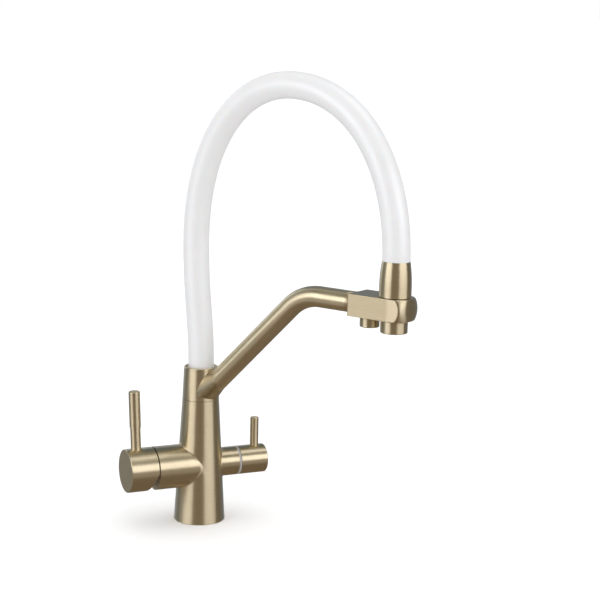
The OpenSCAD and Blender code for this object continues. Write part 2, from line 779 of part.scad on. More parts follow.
// A tube along the hose's centre line: outer and inner rings, joined at both ends
module hose_tube(r_out, r_in, sides) {
    last = len(hose_rings) - 1;
    skins = [for (ring = hose_rings) concat(hose_circle(ring, r_out, sides), hose_circle(ring, r_in, sides))];
    points = [for (skin = skins) each skin];
    row = 2 * sides;
    function next(j) = (j + 1) % sides;
    outer = [for (i = [0:last - 1]) for (j = [0:sides - 1])
        [i * row + j, i * row + next(j), (i + 1) * row + next(j), (i + 1) * row + j]];
    inner = [for (i = [0:last - 1]) for (j = [0:sides - 1])
        [i * row + sides + j, (i + 1) * row + sides + j, (i + 1) * row + sides + next(j), i * row + sides + next(j)]];
    foot = [for (j = [0:sides - 1]) [j, sides + j, sides + next(j), next(j)]];
    end = [for (j = [0:sides - 1]) [last * row + j, last * row + next(j),
        last * row + sides + next(j), last * row + sides + j]];
    polyhedron(points, concat(outer, inner, foot, end), convexity = 6);
}

module silicone_hose() {
    color(white) spout_frame() hose_tube(hose_d / 2, hose_bore_d / 2, hose_sides);
}

module inner_water_hose() {
    color(plastic) spout_frame() hose_tube(water_hose_d / 2, water_hose_bore_d / 2, water_hose_sides);
}

// ---- Support arm ----

module arm_shape(r, past) {
    translate([0, 0, arm_root_z]) rotate([0, 90 - arm_rise, 0]) translate([0, 0, arm_skip - past])
        cylinder(r = r, h = arm_low_l - arm_skip + past);
    translate([arm_level_s, 0, arm_z - arm_bend_r]) rotate([90, 0, 0]) rotate([0, 0, 90])
        rotate_extrude(angle = arm_rise) translate([arm_bend_r, 0]) circle(r = r);
    translate([arm_level_s, 0, arm_z]) rotate([0, 90, 0])
        cylinder(r = r, h = block_s - arm_level_s + past);
}

module support_arm() {
    color(brass) spout_frame() difference() {
        arm_shape(arm_r, 0);
        arm_shape(arm_bore_r, bite);
        collar_cone(arm_d, arm_d, lap_gap / 2);
    }
}

module arm_end_sleeve() {
    color(brass) spout_frame() translate([block_s - sleeve_in, 0, arm_z]) rotate([0, 90, 0]) difference() {
        cylinder(r = sleeve_r, h = sleeve_in + sleeve_out);
        translate([0, 0, -bite]) cylinder(r = sleeve_bore_r, h = sleeve_in + sleeve_out + 2 * bite);
        translate([0, 0, sleeve_in + sleeve_o_ring_s - block_s - 0.9]) ring(sleeve_r + bite, sleeve_r - 1.2, 1.8);
        translate([0, 0, sleeve_in + head_screw_s - block_s - 1.7]) ring(sleeve_r + bite, sleeve_r - 1, 3.4);
    }
}

module arm_o_ring() {
    color(rubber) spout_frame() translate([sleeve_o_ring_s, 0, arm_z]) rotate([0, 90, 0]) o_ring(sleeve_r - 0.58, 0.6);
}

// ---- Head ----

module block_outline() {
    translate([block_s, -block_w / 2, block_low_z]) cube([block_back, block_w, block_h]);
    intersection() {
        translate([reach - bite, -block_w / 2, block_low_z]) cube([block_flat + bite, block_w, block_h]);
        translate([reach, 0, arm_z]) sphere(r = block_ball_r);
    }
}

module head_block() {
    color(brass) spout_frame() difference() {
        block_outline();
        translate([block_s - bite, 0, arm_z]) rotate([0, 90, 0]) cylinder(r = arm_bore_r, h = sleeve_out + 0.5 + bite);
        // filtered water's way down to its own outlet
        translate([filter_out_s - 6.5, 0, arm_z]) rotate([0, 90, 0]) cylinder(r = 3, h = 6.5);
        translate([filter_out_s, 0, block_low_z]) cylinder(r = 3, h = block_h / 2 + 2);
        translate([filter_out_s, 0, block_low_z - bite]) cylinder(r = filter_thread_r, h = filter_thread_l + bite);
        // mixed water's way from the hose to the main outlet
        translate([reach, 0, block_low_z - bite]) cylinder(r = head_bore_r, h = block_h + 2 * bite);
        translate([reach, 0, block_top_z - head_thread_l]) cylinder(r = head_thread_r, h = head_thread_l + bite);
        translate([reach, 0, block_low_z - bite]) cylinder(r = main_thread_r, h = main_thread_l + bite);
        translate([head_screw_s, 0, block_low_z - bite]) cylinder(r = 1.5 + seat_fit, h = block_h / 2);
    }
}

module head_set_screw() {
    color(steel) spout_frame() translate([head_screw_s, 0, block_low_z + 0.2]) difference() {
        cylinder(r = 1.5, h = arm_z - sleeve_r + 0.8 - block_low_z);
        translate([0, 0, -bite]) cylinder(r = 0.9, h = 1.2 + bite, $fn = 6);
    }
}

module ferrule_washer() {
    color(rubber) spout_frame() translate([reach, 0, block_top_z]) ring(ferrule_d / 2 - 1.2, head_thread_r + 0.2, washer_t);
}

module hose_ferrule() {
    barrel_h = ferrule_h * ferrule_barrel;
    drop = (ferrule_d - ferrule_top_d) / 2;
    // the side is an arc that leaves the straight foot level and reaches the top edge
    arc_r = (barrel_h ^ 2 + drop ^ 2) / (2 * drop);
    color(brass) spout_frame() translate([reach, 0, ferrule_z]) difference() {
        rotate_extrude() difference() {
            square([ferrule_d / 2, ferrule_h]);
            difference() {
                translate([0, ferrule_h - barrel_h]) square([ferrule_d, ferrule_h]);
                translate([ferrule_d / 2 - arc_r, ferrule_h - barrel_h]) circle(r = arc_r, $fn = 360);
            }
        }
        translate([0, 0, -bite]) cylinder(r = ferrule_bore_r, h = ferrule_h - 3 + bite);
        cylinder(r = hose_bore_d / 2, h = ferrule_h + bite);
    }
}

module head_hose_nipple() {
    color(brass) spout_frame() translate([reach, 0, ferrule_top_z]) {
        hose_nipple(head_thread_r - seat_fit, ferrule_h + washer_t + head_thread_l - 0.5);
        translate([0, 0, -ferrule_h]) ring(ferrule_bore_r - seat_fit, nipple_bore_r + 1, 5);
    }
}

// ---- Outlets ----

module outlet_ring(r, drop, thread_r, thread_l, aerator_h) {
    translate([0, 0, block_low_z]) rotate([180, 0, 0]) difference() {
        union() {
            round_rod(r, drop, outlet_edge);
            translate([0, 0, -thread_l]) cylinder(r = thread_r - seat_fit, h = thread_l + bite);
        }
        translate([0, 0, drop - aerator_h]) cylinder(r = r - outlet_wall, h = aerator_h + bite);
        translate([0, 0, -thread_l - bite]) cylinder(r = thread_r - 2.4, h = thread_l + drop);
    }
}

// An insert with a grid of holes on a hexagonal pitch, its rim left whole
module aerator(r, h) {
    rows = floor((r - aerator_rim - mesh_hole_r) / (mesh_pitch * sin(60)));
    difference() {
        cylinder(r = r, h = h);
        for (j = [-rows:rows]) for (i = [-rows - 1:rows + 1])
            let (x = (i + (j % 2 == 0 ? 0 : 0.5)) * mesh_pitch, y = j * mesh_pitch * sin(60))
                if (norm([x, y]) < r - aerator_rim - mesh_hole_r)
                    translate([x, y, -bite]) cylinder(r = mesh_hole_r, h = h + 2 * bite, $fn = 16);
    }
}

main_aerator_h = main_outlet_drop - aerator_lip - 1.5 - washer_h;
filter_aerator_h = filter_outlet_drop - aerator_lip - 1.5;

module main_outlet_ring() {
    color(brass) spout_frame() translate([reach, 0, 0])
        outlet_ring(main_outlet_d / 2, main_outlet_drop, main_thread_r, main_thread_l,
            main_outlet_drop - 1.5);
}

module main_aerator() {
    color(plastic) spout_frame() translate([reach, 0, block_low_z - main_outlet_drop + aerator_lip])
        aerator(main_outlet_d / 2 - outlet_wall - seat_fit, main_aerator_h);
}

module main_aerator_washer() {
    color(rubber) spout_frame()
        translate([reach, 0, block_low_z - main_outlet_drop + aerator_lip + main_aerator_h])
            ring(main_outlet_d / 2 - outlet_wall - seat_fit, main_thread_r - 2.4, washer_h);
}

module filter_outlet_ring() {
    color(brass) spout_frame() translate([filter_out_s, 0, 0])
        outlet_ring(filter_outlet_d / 2, filter_outlet_drop, filter_thread_r, filter_thread_l,
            filter_outlet_drop - 1.5);
}

module filter_aerator() {
    color(plastic) spout_frame() translate([filter_out_s, 0, block_low_z - filter_outlet_drop + aerator_lip])
        aerator(filter_outlet_d / 2 - outlet_wall - seat_fit, filter_aerator_h);
}

column_body();
base_gasket();
cartridge_housing();
cartridge_base();
cartridge_seals();
fixed_mixer_disc();
cartridge_nut();
boss_trim_ring();
filter_valve_body();
filter_seat_seal();
fixed_filter_disc();
filter_gap_ring();
swivel_spigot();
swivel_o_rings();
swivel_slide_ring();
cartridge_rotor();
lever_pivot_pin();
moving_mixer_disc();
disc_carrier();
cartridge_stem();
mixer_handle_cap();
mixer_lever_rod();
mixer_lever_grip();
mixer_grub_screw();
filter_spindle();
moving_filter_disc();
filter_spindle_seal();
filter_knob();
filter_lever_pin();
filter_grub_screw();
swivel_collar();
collar_stop_screw();
collar_hose_nipple();
silicone_hose();
inner_water_hose();
support_arm();
arm_end_sleeve();
arm_o_ring();
head_block();
head_set_screw();
ferrule_washer();
hose_ferrule();
head_hose_nipple();
main_outlet_ring();
main_aerator();
main_aerator_washer();
filter_outlet_ring();
filter_aerator();
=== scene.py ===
"""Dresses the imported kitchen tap: brushed bronze, a soft white hose and the parts inside."""

from math import atan2, cos, pi, radians, sin, tan

import bpy
import numpy as np
from mathutils import Matrix, Vector


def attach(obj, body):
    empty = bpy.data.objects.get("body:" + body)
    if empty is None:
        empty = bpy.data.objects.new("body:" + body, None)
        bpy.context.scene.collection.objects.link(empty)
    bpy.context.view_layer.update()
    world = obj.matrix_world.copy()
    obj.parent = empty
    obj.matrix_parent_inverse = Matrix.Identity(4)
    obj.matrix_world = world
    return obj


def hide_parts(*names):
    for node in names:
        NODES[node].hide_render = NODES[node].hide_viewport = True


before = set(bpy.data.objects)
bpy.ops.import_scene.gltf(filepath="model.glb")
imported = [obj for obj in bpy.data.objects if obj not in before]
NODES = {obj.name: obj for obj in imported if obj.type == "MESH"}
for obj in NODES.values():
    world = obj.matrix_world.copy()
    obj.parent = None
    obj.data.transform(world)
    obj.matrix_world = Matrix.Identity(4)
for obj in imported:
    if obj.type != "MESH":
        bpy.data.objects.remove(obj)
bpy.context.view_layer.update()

bl_info = {
    "name": "Three Way Kitchen Tap",
    "version": (1, 0, 0),
    "blender": (4, 5, 0),
    "location": "View3D > Sidebar > Tap",
    "description": "Builds the smooth outer pieces and the finishes of a three way kitchen tap",
    "category": "Add Mesh",
}

# lengths in metres
TUCK = 0.0006  # how far the hidden edge of an added piece reaches into the metal
SKIM = 2e-5  # how far an added surface lies inside the CAD surface that it meets
ROOT_TOP = 0.00015  # least width of the arm's root, above
ROOT_BELOW = 0.00035  # how much wider it is below
ROOT_SIDE = 0.0003  # how much narrower it is at the sides, before the flare
ROOT_RISE = 0.0012  # how far the root runs up the arm past its corner
WELD = 0.0003  # width of the weld's fillet above and below; three times that at the sides
BOX_DISTANCE = 2.0  # from the softboxes to the tap

FLARE_RUN = 2.2  # how far up the arm the flare runs out, as a share of its spread
FLARE_SWELL = 1.4  # how far it swells on the way, as a share of its spread
LANDING = 0.65  # where the root's curve comes down on the tube, as a share of the way from corner to rim
STREAK = 40.0  # how many times finer the brush lines are across than along
BOX_LAYERS = ((0.25, 1.50), (0.35, 1.00), (0.40, 0.50))  # share of the light and spread of the width
BOX_TALL = 0.15  # how much of that spread the height takes
LIGHT_COLOUR = (0.887, 0.917, 1.0)
LIGHT_GAIN = 1.12  # makes up for what the cool colour takes away

# ---------------------------------------------------------------- sizes and colours


class TapSizes(bpy.types.PropertyGroup):
    """Sizes of the pieces that are made here, in metres and radians."""

    axis_height: bpy.props.FloatProperty(
        name="Boss axis", description="Height of the two bosses' axis", default=0.0555, unit="LENGTH")
    foot_radius: bpy.props.FloatProperty(
        name="Foot radius", description="Radius of the column's foot", default=0.025, unit="LENGTH")
    seam_radius: bpy.props.FloatProperty(
        name="Seam radius", description="Radius of column and collar at their seam",
        default=0.0179, unit="LENGTH")
    seam_height: bpy.props.FloatProperty(
        name="Seam height", description="Height of the column's top", default=0.122, unit="LENGTH")
    mixer_radius: bpy.props.FloatProperty(
        name="Mixer boss radius", description="Radius of the mixer boss", default=0.0212, unit="LENGTH")
    filter_radius: bpy.props.FloatProperty(
        name="Filter boss radius", description="Radius of the filter boss", default=0.0142, unit="LENGTH")
    lever_out: bpy.props.FloatProperty(
        name="Mixer lever", description="Distance from the column's axis to the mixer lever's foot",
        default=0.0657, unit="LENGTH")
    lever_lean: bpy.props.FloatProperty(
        name="Mixer lever lean", description="Outward lean of the mixer lever",
        default=radians(2.2), subtype="ANGLE")
    pin_out: bpy.props.FloatProperty(
        name="Filter lever", description="Distance from the column's axis to the filter lever",
        default=0.0576, unit="LENGTH")
    boss_fillet: bpy.props.FloatProperty(
        name="Boss fillet", description="Radius of the fillet between a boss and the column",
        default=0.0016, unit="LENGTH")
    collar_bottom: bpy.props.FloatProperty(
        name="Collar bottom", description="Height of the collar's lower edge", default=0.1224, unit="LENGTH")
    collar_height: bpy.props.FloatProperty(
        name="Collar height", description="Height of the swivel collar", default=0.0318, unit="LENGTH")
    collar_top_radius: bpy.props.FloatProperty(
        name="Collar top radius", description="Radius of the collar's upper edge",
        default=0.0166, unit="LENGTH")
    spout_turn: bpy.props.FloatProperty(
        name="Spout turn", description="Turn of the spout about the column at rest",
        default=radians(-61.2), subtype="ANGLE")
    arm_radius: bpy.props.FloatProperty(
        name="Arm radius", description="Radius of the arm's tube", default=0.0098, unit="LENGTH")
    arm_wall: bpy.props.FloatProperty(
        name="Arm wall", description="Wall of the arm's tube", default=0.0018, unit="LENGTH")
    arm_root_height: bpy.props.FloatProperty(
        name="Arm root", description="Height at which the arm's centre line leaves the column's axis",
        default=0.122, unit="LENGTH")
    arm_height: bpy.props.FloatProperty(
        name="Arm height", description="Height of the arm's level stretch", default=0.2406, unit="LENGTH")
    arm_bend_share: bpy.props.FloatProperty(
        name="Arm bend", description="Share of the reach at which the arm's centre line has its corner",
        default=0.5455, subtype="FACTOR", min=0, max=1)
    arm_bend_radius: bpy.props.FloatProperty(
        name="Arm bend radius", description="Centre line radius of the arm's bend",
        default=0.048, unit="LENGTH")
    arm_end: bpy.props.FloatProperty(
        name="Arm end", description="Distance from the column's axis to the block's rear face",
        default=0.1812, unit="LENGTH")
    arm_flare: bpy.props.FloatProperty(
        name="Arm flare", description="How far the arm's root spreads sideways over the collar",
        default=0.0046, unit="LENGTH")
    reach: bpy.props.FloatProperty(
        name="Reach", description="Distance from the column's axis to the main outlet",
        default=0.222, unit="LENGTH")
    filter_outlet_back: bpy.props.FloatProperty(
        name="Filter outlet", description="Distance from the main outlet back to the small one",
        default=0.0262, unit="LENGTH")
    block_width: bpy.props.FloatProperty(
        name="Block width", description="Width of the head block", default=0.031, unit="LENGTH")
    block_height: bpy.props.FloatProperty(
        name="Block height", description="Height of the head block", default=0.0204, unit="LENGTH")
    block_ball: bpy.props.FloatProperty(
        name="Block nose radius", description="Radius of the block's round nose",
        default=0.0206, unit="LENGTH")
    block_flat: bpy.props.FloatProperty(
        name="Block nose flat", description="Distance from the outlet's axis to the flat on the nose",
        default=0.0177, unit="LENGTH")
    block_edge: bpy.props.FloatProperty(
        name="Block edge", description="Radius of the block's broken edges", default=0.0008, unit="LENGTH")
    nose_edge: bpy.props.FloatProperty(
        name="Nose edge", description="Radius between the round nose and its flat",
        default=0.003, unit="LENGTH")
    hose_radius: bpy.props.FloatProperty(
        name="Hose radius", description="Outer radius of the silicone hose", default=0.0125, unit="LENGTH")
    hose_bore: bpy.props.FloatProperty(
        name="Hose bore", description="Radius of the silicone hose's bore", default=0.0083, unit="LENGTH")
    hose_foot: bpy.props.FloatProperty(
        name="Hose foot", description="Height of the hose's seat in the collar", default=0.1512, unit="LENGTH")
    hose_end: bpy.props.FloatProperty(
        name="Hose end", description="Height at which the hose enters the ferrule",
        default=0.283, unit="LENGTH")
    hose_bow: bpy.props.FloatProperty(
        name="Hose bow", description="How far the hose bows out behind the column",
        default=0.0082, unit="LENGTH")
    hose_bow_height: bpy.props.FloatProperty(
        name="Hose bow height", description="Height at which the hose bows out the most",
        default=0.278, unit="LENGTH")
    hose_top_out: bpy.props.FloatProperty(
        name="Hose top", description="Distance from the column's axis to the top of the hose",
        default=0.103, unit="LENGTH")
    hose_top_height: bpy.props.FloatProperty(
        name="Hose top height", description="Height of the top of the hose's centre line",
        default=0.4314, unit="LENGTH")


class TapColours(bpy.types.PropertyGroup):
    """Colours of the finishes."""

    bronze: bpy.props.FloatVectorProperty(
        name="Bronze", description="Colour of the brushed bronze", subtype="COLOR", default=(0.74, 0.63, 0.43),
        min=0, max=1)
    bronze_shade: bpy.props.FloatVectorProperty(
        name="Bronze shade", description="Colour of the bronze in its brush lines", subtype="COLOR",
        default=(0.66, 0.55, 0.36), min=0, max=1)
    bronze_roughness: bpy.props.FloatProperty(
        name="Bronze roughness", description="How dull the brushed bronze is", default=0.35, min=0.05, max=1)
    hose: bpy.props.FloatVectorProperty(
        name="Hose", description="Colour of the silicone hose", subtype="COLOR", default=(0.76, 0.76, 0.763),
        min=0, max=1)
    nylon: bpy.props.FloatVectorProperty(
        name="Nylon", description="Colour of the white rings", subtype="COLOR", default=(0.33, 0.305, 0.28),
        min=0, max=1)


class TapStudio(bpy.types.PropertyGroup):
    """Lights, floor and camera."""

    left_strength: bpy.props.FloatProperty(
        name="Left box", description="Brightness of the tall softbox on the left", default=7.8, min=0)
    right_strength: bpy.props.FloatProperty(
        name="Right box", description="Brightness of the tall softbox on the right", default=7.4, min=0)
    top_strength: bpy.props.FloatProperty(
        name="Top box", description="Brightness of the small softbox overhead", default=6.5, min=0)
    fill_strength: bpy.props.FloatProperty(
        name="Fill", description="Brightness of the light that only dull surfaces see", default=0.6, min=0)
    tent_strength: bpy.props.FloatProperty(
        name="Tent", description="Brightness of the white tent as dull surfaces see it", default=1.08, min=0)
    floor: bpy.props.FloatVectorProperty(
        name="Floor", description="Colour of the floor", subtype="COLOR", default=(0.92, 0.92, 0.92),
        min=0, max=1)
    camera_place: bpy.props.FloatVectorProperty(
        name="Camera place", description="Where the camera stands", subtype="TRANSLATION",
        default=(-0.56405, -1.4416, 0.50463))
    camera_turn: bpy.props.FloatVectorProperty(
        name="Camera turn", description="How the camera is turned: its pitch, its roll and its heading",
        subtype="EULER", default=(radians(79.628), radians(-1.377), radians(-24.627)))
    lens: bpy.props.FloatProperty(
        name="Lens", description="Focal length on a 36 mm sensor, in millimetres", default=97.335, min=10)


# ---------------------------------------------------------------- surfaces


def grid_faces(rows, columns, around, along):
    """Corner numbers of the quads of a rows x columns grid; around closes its columns, along its rows."""
    i = np.arange(rows if along else rows - 1)
    j = np.arange(columns if around else columns - 1)
    i, j = (g.ravel() for g in np.meshgrid(i, j, indexing="ij"))
    up, right = (i + 1) % rows, (j + 1) % columns
    return np.stack([i * columns + j, i * columns + right, up * columns + right, up * columns + j], 1)


def skin(name, points, body, material, along=False, stands_for=(), uv_size=(1.0, 1.0)):
    """Puts a grid of points P[i, j] into a new mesh, closed around its columns.

    With along=True the rows close too. Otherwise each end is closed by a fan to the mean of its ring.
    The volume, the sum of p0 . (p1 x p2) / 6 over the triangles, tells whether the faces point outwards.
    """
    rows, columns = points.shape[:2]
    verts = points.reshape(-1, 3)
    quads = grid_faces(rows, columns, True, along)
    j = np.arange(columns)
    fans = np.zeros((0, 3), int)
    if not along:
        first, last = len(verts), len(verts) + 1
        verts = np.vstack([verts, points[0].mean(0), points[-1].mean(0)])
        ring = (rows - 1) * columns
        fans = np.vstack([
            np.stack([(j + 1) % columns, j, np.full(columns, first)], 1),
            np.stack([ring + j, ring + (j + 1) % columns, np.full(columns, last)], 1),
        ])
    tris = np.vstack([quads[:, [0, 1, 2]], quads[:, [0, 2, 3]], fans])
    a, b, c = (verts[tris[:, k]] for k in range(3))
    if (a * np.cross(b, c)).sum() < 0:
        quads, fans = quads[:, ::-1], fans[:, ::-1]
    corners = np.concatenate([quads.ravel(), fans.ravel()]).astype(np.int32)
    sizes = np.concatenate([np.full(len(quads), 4), np.full(len(fans), 3)])
    mesh = bpy.data.meshes.new(name)
    mesh.vertices.add(len(verts))
    mesh.vertices.foreach_set("co", verts.astype(np.float32).ravel())
    mesh.loops.add(len(corners))
    mesh.loops.foreach_set("vertex_index", corners)
    mesh.polygons.add(len(sizes))
    mesh.polygons.foreach_set("loop_start", (np.cumsum(sizes) - sizes).astype(np.int32))
    mesh.polygons.foreach_set("use_smooth", np.ones(len(sizes), bool))
    mesh.update(calc_edges=True)
    mesh.validate()
    add_uv(mesh, rows, columns, along, uv_size)
    mesh.materials.append(material)
    piece = bpy.data.objects.new(name, mesh)
    bpy.context.scene.collection.objects.link(piece)
    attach(piece, body)
    if stands_for:
        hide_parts(*stands_for)
    return piece


def add_uv(mesh, rows, columns, along, size):
    """UV map of a grid: u = column / columns, v = row / (rows - 1), each times the real size that way."""
    count = len(mesh.loops)
    corner = np.zeros(count, np.int32)
    mesh.loops.foreach_get("vertex_index", corner)
    start = np.zeros(len(mesh.polygons), np.int32)
    total = np.zeros(len(mesh.polygons), np.int32)
    mesh.polygons.foreach_get("loop_start", start)
    mesh.polygons.foreach_get("loop_total", total)
    face = np.repeat(np.arange(len(start)), total)
    inside = corner < rows * columns
    u = np.where(inside, corner % columns, 0).astype(float)
    v = np.where(inside, corner // columns, 0).astype(float)
    high_u = np.zeros(len(start))
    np.maximum.at(high_u, face, u)
    u = np.where((u == 0) & (high_u[face] == columns - 1), columns, u)
    high_v = np.zeros(len(start))
    np.maximum.at(high_v, face, v)
    v = np.where(along & (v == 0) & (high_v[face] == rows - 1), rows, v)
    layer = mesh.uv_layers.new(name="finish")
    uv = np.stack([u / columns * size[0], v / max(rows - 1, 1) * size[1]], 1)
    layer.data.foreach_set("uv", uv.astype(np.float32).ravel())


def spout_place(points):
    """Turns points from the spout's own frame, with the arm along +X, to the tap's frame."""
    turn = bpy.context.scene.tap_sizes.spout_turn
    x, y, z = np.moveaxis(points, -1, 0)
    return np.stack([x * cos(turn) - y * sin(turn), x * sin(turn) + y * cos(turn), z], -1)


def bezier_value(t, *p):
    """Quadratic or cubic curve of 3 or 4 control values: the sum of C(n, k) (1-t)^(n-k) t^k p(k)."""
    if len(p) == 3:
        return (1 - t) ** 2 * p[0] + 2 * (1 - t) * t * p[1] + t ** 2 * p[2]
    return (1 - t) ** 3 * p[0] + 3 * (1 - t) ** 2 * t * p[1] + 3 * (1 - t) * t ** 2 * p[2] + t ** 3 * p[3]


def bezier(p0, p1, p2, p3, count):
    """Points and headings of B(t) = (1-t)^3 p0 + 3(1-t)^2 t p1 + 3(1-t) t^2 p2 + t^3 p3."""
    t = np.linspace(0, 1, count)[:, None]
    p0, p1, p2, p3 = (np.array(p, float) for p in (p0, p1, p2, p3))
    heading = bezier_value(t, p1 - p0, p2 - p1, p3 - p2)
    return bezier_value(t, p0, p1, p2, p3), heading / np.linalg.norm(heading, axis=1, keepdims=True)


def pipe_rings(place, heading, radius, sides):
    """Rings C(i) + r (cos a N(i) + sin a Y) round a line in the XZ plane; N is its heading turned left."""
    angle = np.linspace(0, 2 * pi, sides, endpoint=False)
    radius = np.broadcast_to(radius, (len(place),))[:, None]
    left = np.stack([-heading[:, 1], heading[:, 0]], 1)
    x = place[:, :1] + radius * np.cos(angle) * left[:, :1]
    z = place[:, 1:] + radius * np.cos(angle) * left[:, 1:]
    y = radius * np.sin(angle) + 0 * x
    return np.stack([x, y, z], -1)


# ---------------------------------------------------------------- finishes


def add(tree, kind, links=None, **settings):
    """Adds one shader node: settings are its properties, links its inputs' values or sources."""
    node = tree.nodes.new(kind)
    for key, value in settings.items():
        setattr(node, key, value)
    for key, value in (links or {}).items():
        if isinstance(value, bpy.types.NodeSocket):
            tree.links.new(value, node.inputs[key])
        else:
            node.inputs[key].default_value = value
    return node


def calc(tree, operation, *values):
    """A Math node's result."""
    return add(tree, "ShaderNodeMath", dict(enumerate(values)), operation=operation).outputs[0]


def blend_colour(tree, share, low, high):
    """A colour between low and high."""
    node = add(tree, "ShaderNodeMix", data_type="RGBA")
    for socket, value in ((node.inputs[0], share), (node.inputs[6], low), (node.inputs[7], high)):
        if isinstance(value, bpy.types.NodeSocket):
            tree.links.new(value, socket)
        elif isinstance(value, (int, float)):
            socket.default_value = value
        else:
            socket.default_value = (*value[:3], 1)
    return node.outputs[2]


def in_range(tree, value, low, high, to_low, to_high):
    """Value carried from one range to another, held at its ends."""
    links = {"Value": value, "From Min": low, "From Max": high, "To Min": to_low, "To Max": to_high}
    return add(tree, "ShaderNodeMapRange", links).outputs[0]


def grain(tree, vector, scale, detail=3.0, rough=0.5):
    """Fractal noise from 0 to 1 at a point."""
    links = {"Vector": vector, "Scale": scale, "Detail": detail, "Roughness": rough}
    return add(tree, "ShaderNodeTexNoise", links).outputs["Fac"]


def new_finish(name):
    """An empty material with a Principled shader joined to its output."""
    material = bpy.data.materials.new(name)
    material.use_nodes = True
    tree = material.node_tree
    tree.nodes.clear()
    shader = add(tree, "ShaderNodeBsdfPrincipled")
    output = add(tree, "ShaderNodeOutputMaterial")
    tree.links.new(shader.outputs[0], output.inputs[0])
    return material, tree, shader


def object_point(tree, centre=(0, 0, 0), turn=(0, 0, 0)):
    """Object coordinates counted from a piece's own axis: its local +Z is the axis it was turned on."""
    place = add(tree, "ShaderNodeTexCoord").outputs["Object"]
    links = {"Vector": place, "Location": centre, "Rotation": turn}
    return add(tree, "ShaderNodeMapping", links, vector_type="TEXTURE").outputs[0]


def from_axis(tree, x, y):
    """Distance sqrt(x^2 + y^2) from an axis."""
    return calc(tree, "SQRT", calc(tree, "ADD", *(calc(tree, "MULTIPLY", v, v) for v in (x, y))))


def turned_lines(tree, point):
    """A point for streaks that run round an axis: (x, y) count little, height plus radius counts much."""
    x, y, z = add(tree, "ShaderNodeSeparateXYZ", {0: point}).outputs
    height = calc(tree, "MULTIPLY", calc(tree, "ADD", z, from_axis(tree, x, y)), STREAK)
    return add(tree, "ShaderNodeCombineXYZ", {0: x, 1: y, 2: height}).outputs[0]


def straight_lines(tree, point, axis):
    """A point for streaks that run along one axis: that axis counts little, the others much."""
    scale = [STREAK] * 3
    scale[axis] = 1.0
    return add(tree, "ShaderNodeVectorMath", {0: point, 1: scale}, operation="MULTIPLY").outputs[0]


def mapped(tree, vector, turn, kind):
    """A vector turned by a Mapping node of the given kind."""
    return add(tree, "ShaderNodeMapping", {"Vector": vector, "Rotation": turn}, vector_type=kind).outputs[0]


def mix_vectors(tree, share, low, high):
    """A vector between low and high."""
    return add(tree, "ShaderNodeMix", {0: share, 4: low, 5: high}, data_type="VECTOR").outputs[1]


def faces_z(tree, normal):
    """1 where a surface faces up or down, 0 where it doesn't, and a short change between them."""
    upright = calc(tree, "ABSOLUTE", add(tree, "ShaderNodeSeparateXYZ", {0: normal}).outputs[2])
    return in_range(tree, upright, 0.8, 0.95, 0.0, 1.0)


def round_axis(tree, point, turn=(0, 0, 0)):
    """The direction of travel round a piece's axis, (-y, x, 0) at (x, y, z), for lathe marks.

    On a flat end, where the surface faces along the axis, it is one straight direction instead.
    """
    x, y = add(tree, "ShaderNodeSeparateXYZ", {0: point}).outputs[:2]
    back = calc(tree, "MULTIPLY", y, -1.0)
    travel = add(tree, "ShaderNodeCombineXYZ", {0: back, 1: x}).outputs[0]
    facing = add(tree, "ShaderNodeNewGeometry").outputs["True Normal"]
    facing = add(tree, "ShaderNodeVectorTransform", {0: facing}, vector_type="VECTOR", convert_from="WORLD",
                 convert_to="OBJECT").outputs[0]
    facing = mapped(tree, facing, turn, "TEXTURE")
    travel = mix_vectors(tree, faces_z(tree, facing), travel, (0.1, 0.0, 0.0))
    return mapped(tree, travel, turn, "VECTOR")


def bronze_on(tree, shader, streak, point, travel, spread=0.92, dulling=0.0):
    """Brushed bronze: fine streaks in colour, gloss and height, over slow changes of both.

    The streaks run along travel, so a highlight stays narrow along them and spreads across them, by spread.
    Dulling, a number or a socket, is added to the roughness.
    """
    colours = bpy.context.scene.tap_colours
    fine = grain(tree, streak, 90.0, 3.0, 0.6)
    coarse = grain(tree, streak, 18.0, 2.0, 0.5)
    slow = grain(tree, point, 45.0, 2.0, 0.5)
    lines = calc(tree, "ADD", calc(tree, "MULTIPLY", fine, 0.8), calc(tree, "MULTIPLY", coarse, 0.2))
    shine = in_range(tree, lines, 0.3, 0.7, 0.0, 1.0)
    colour = blend_colour(tree, shine, colours.bronze_shade, colours.bronze)
    rough, swing = colours.bronze_roughness, 0.03
    dull = calc(tree, "ADD", in_range(tree, lines, 0.3, 0.7, rough + swing, rough - swing),
                in_range(tree, slow, 0.3, 0.7, -0.015, 0.02))
    dull = calc(tree, "ADD", dull, dulling)
    height = add(tree, "ShaderNodeBump", {"Strength": 0.12, "Distance": 0.00001, "Height": lines}).outputs[0]
    shader.inputs["Metallic"].default_value = 1.0
    shader.inputs["Anisotropic"].default_value = spread
    shader.inputs["Anisotropic Rotation"].default_value = 0.25
    tree.links.new(colour, shader.inputs["Base Color"])
    tree.links.new(dull, shader.inputs["Roughness"])
    tree.links.new(height, shader.inputs["Normal"])
    tree.links.new(travel, shader.inputs["Tangent"])


def to_world(tree, direction):
    """A direction on the piece as a direction in the room."""
    return add(tree, "ShaderNodeVectorTransform", {0: direction}, vector_type="VECTOR", convert_from="OBJECT",
               convert_to="WORLD").outputs[0]


def turned_bronze(name, centre=(0, 0, 0), turn=(0, 0, 0)):
    """Bronze finished on a lathe: the streaks run round the piece's axis."""
    material, tree, shader = new_finish(name)
    point = object_point(tree, centre, turn)
    travel = to_world(tree, round_axis(tree, point, turn))
    bronze_on(tree, shader, turned_lines(tree, point), point, travel)
    return material


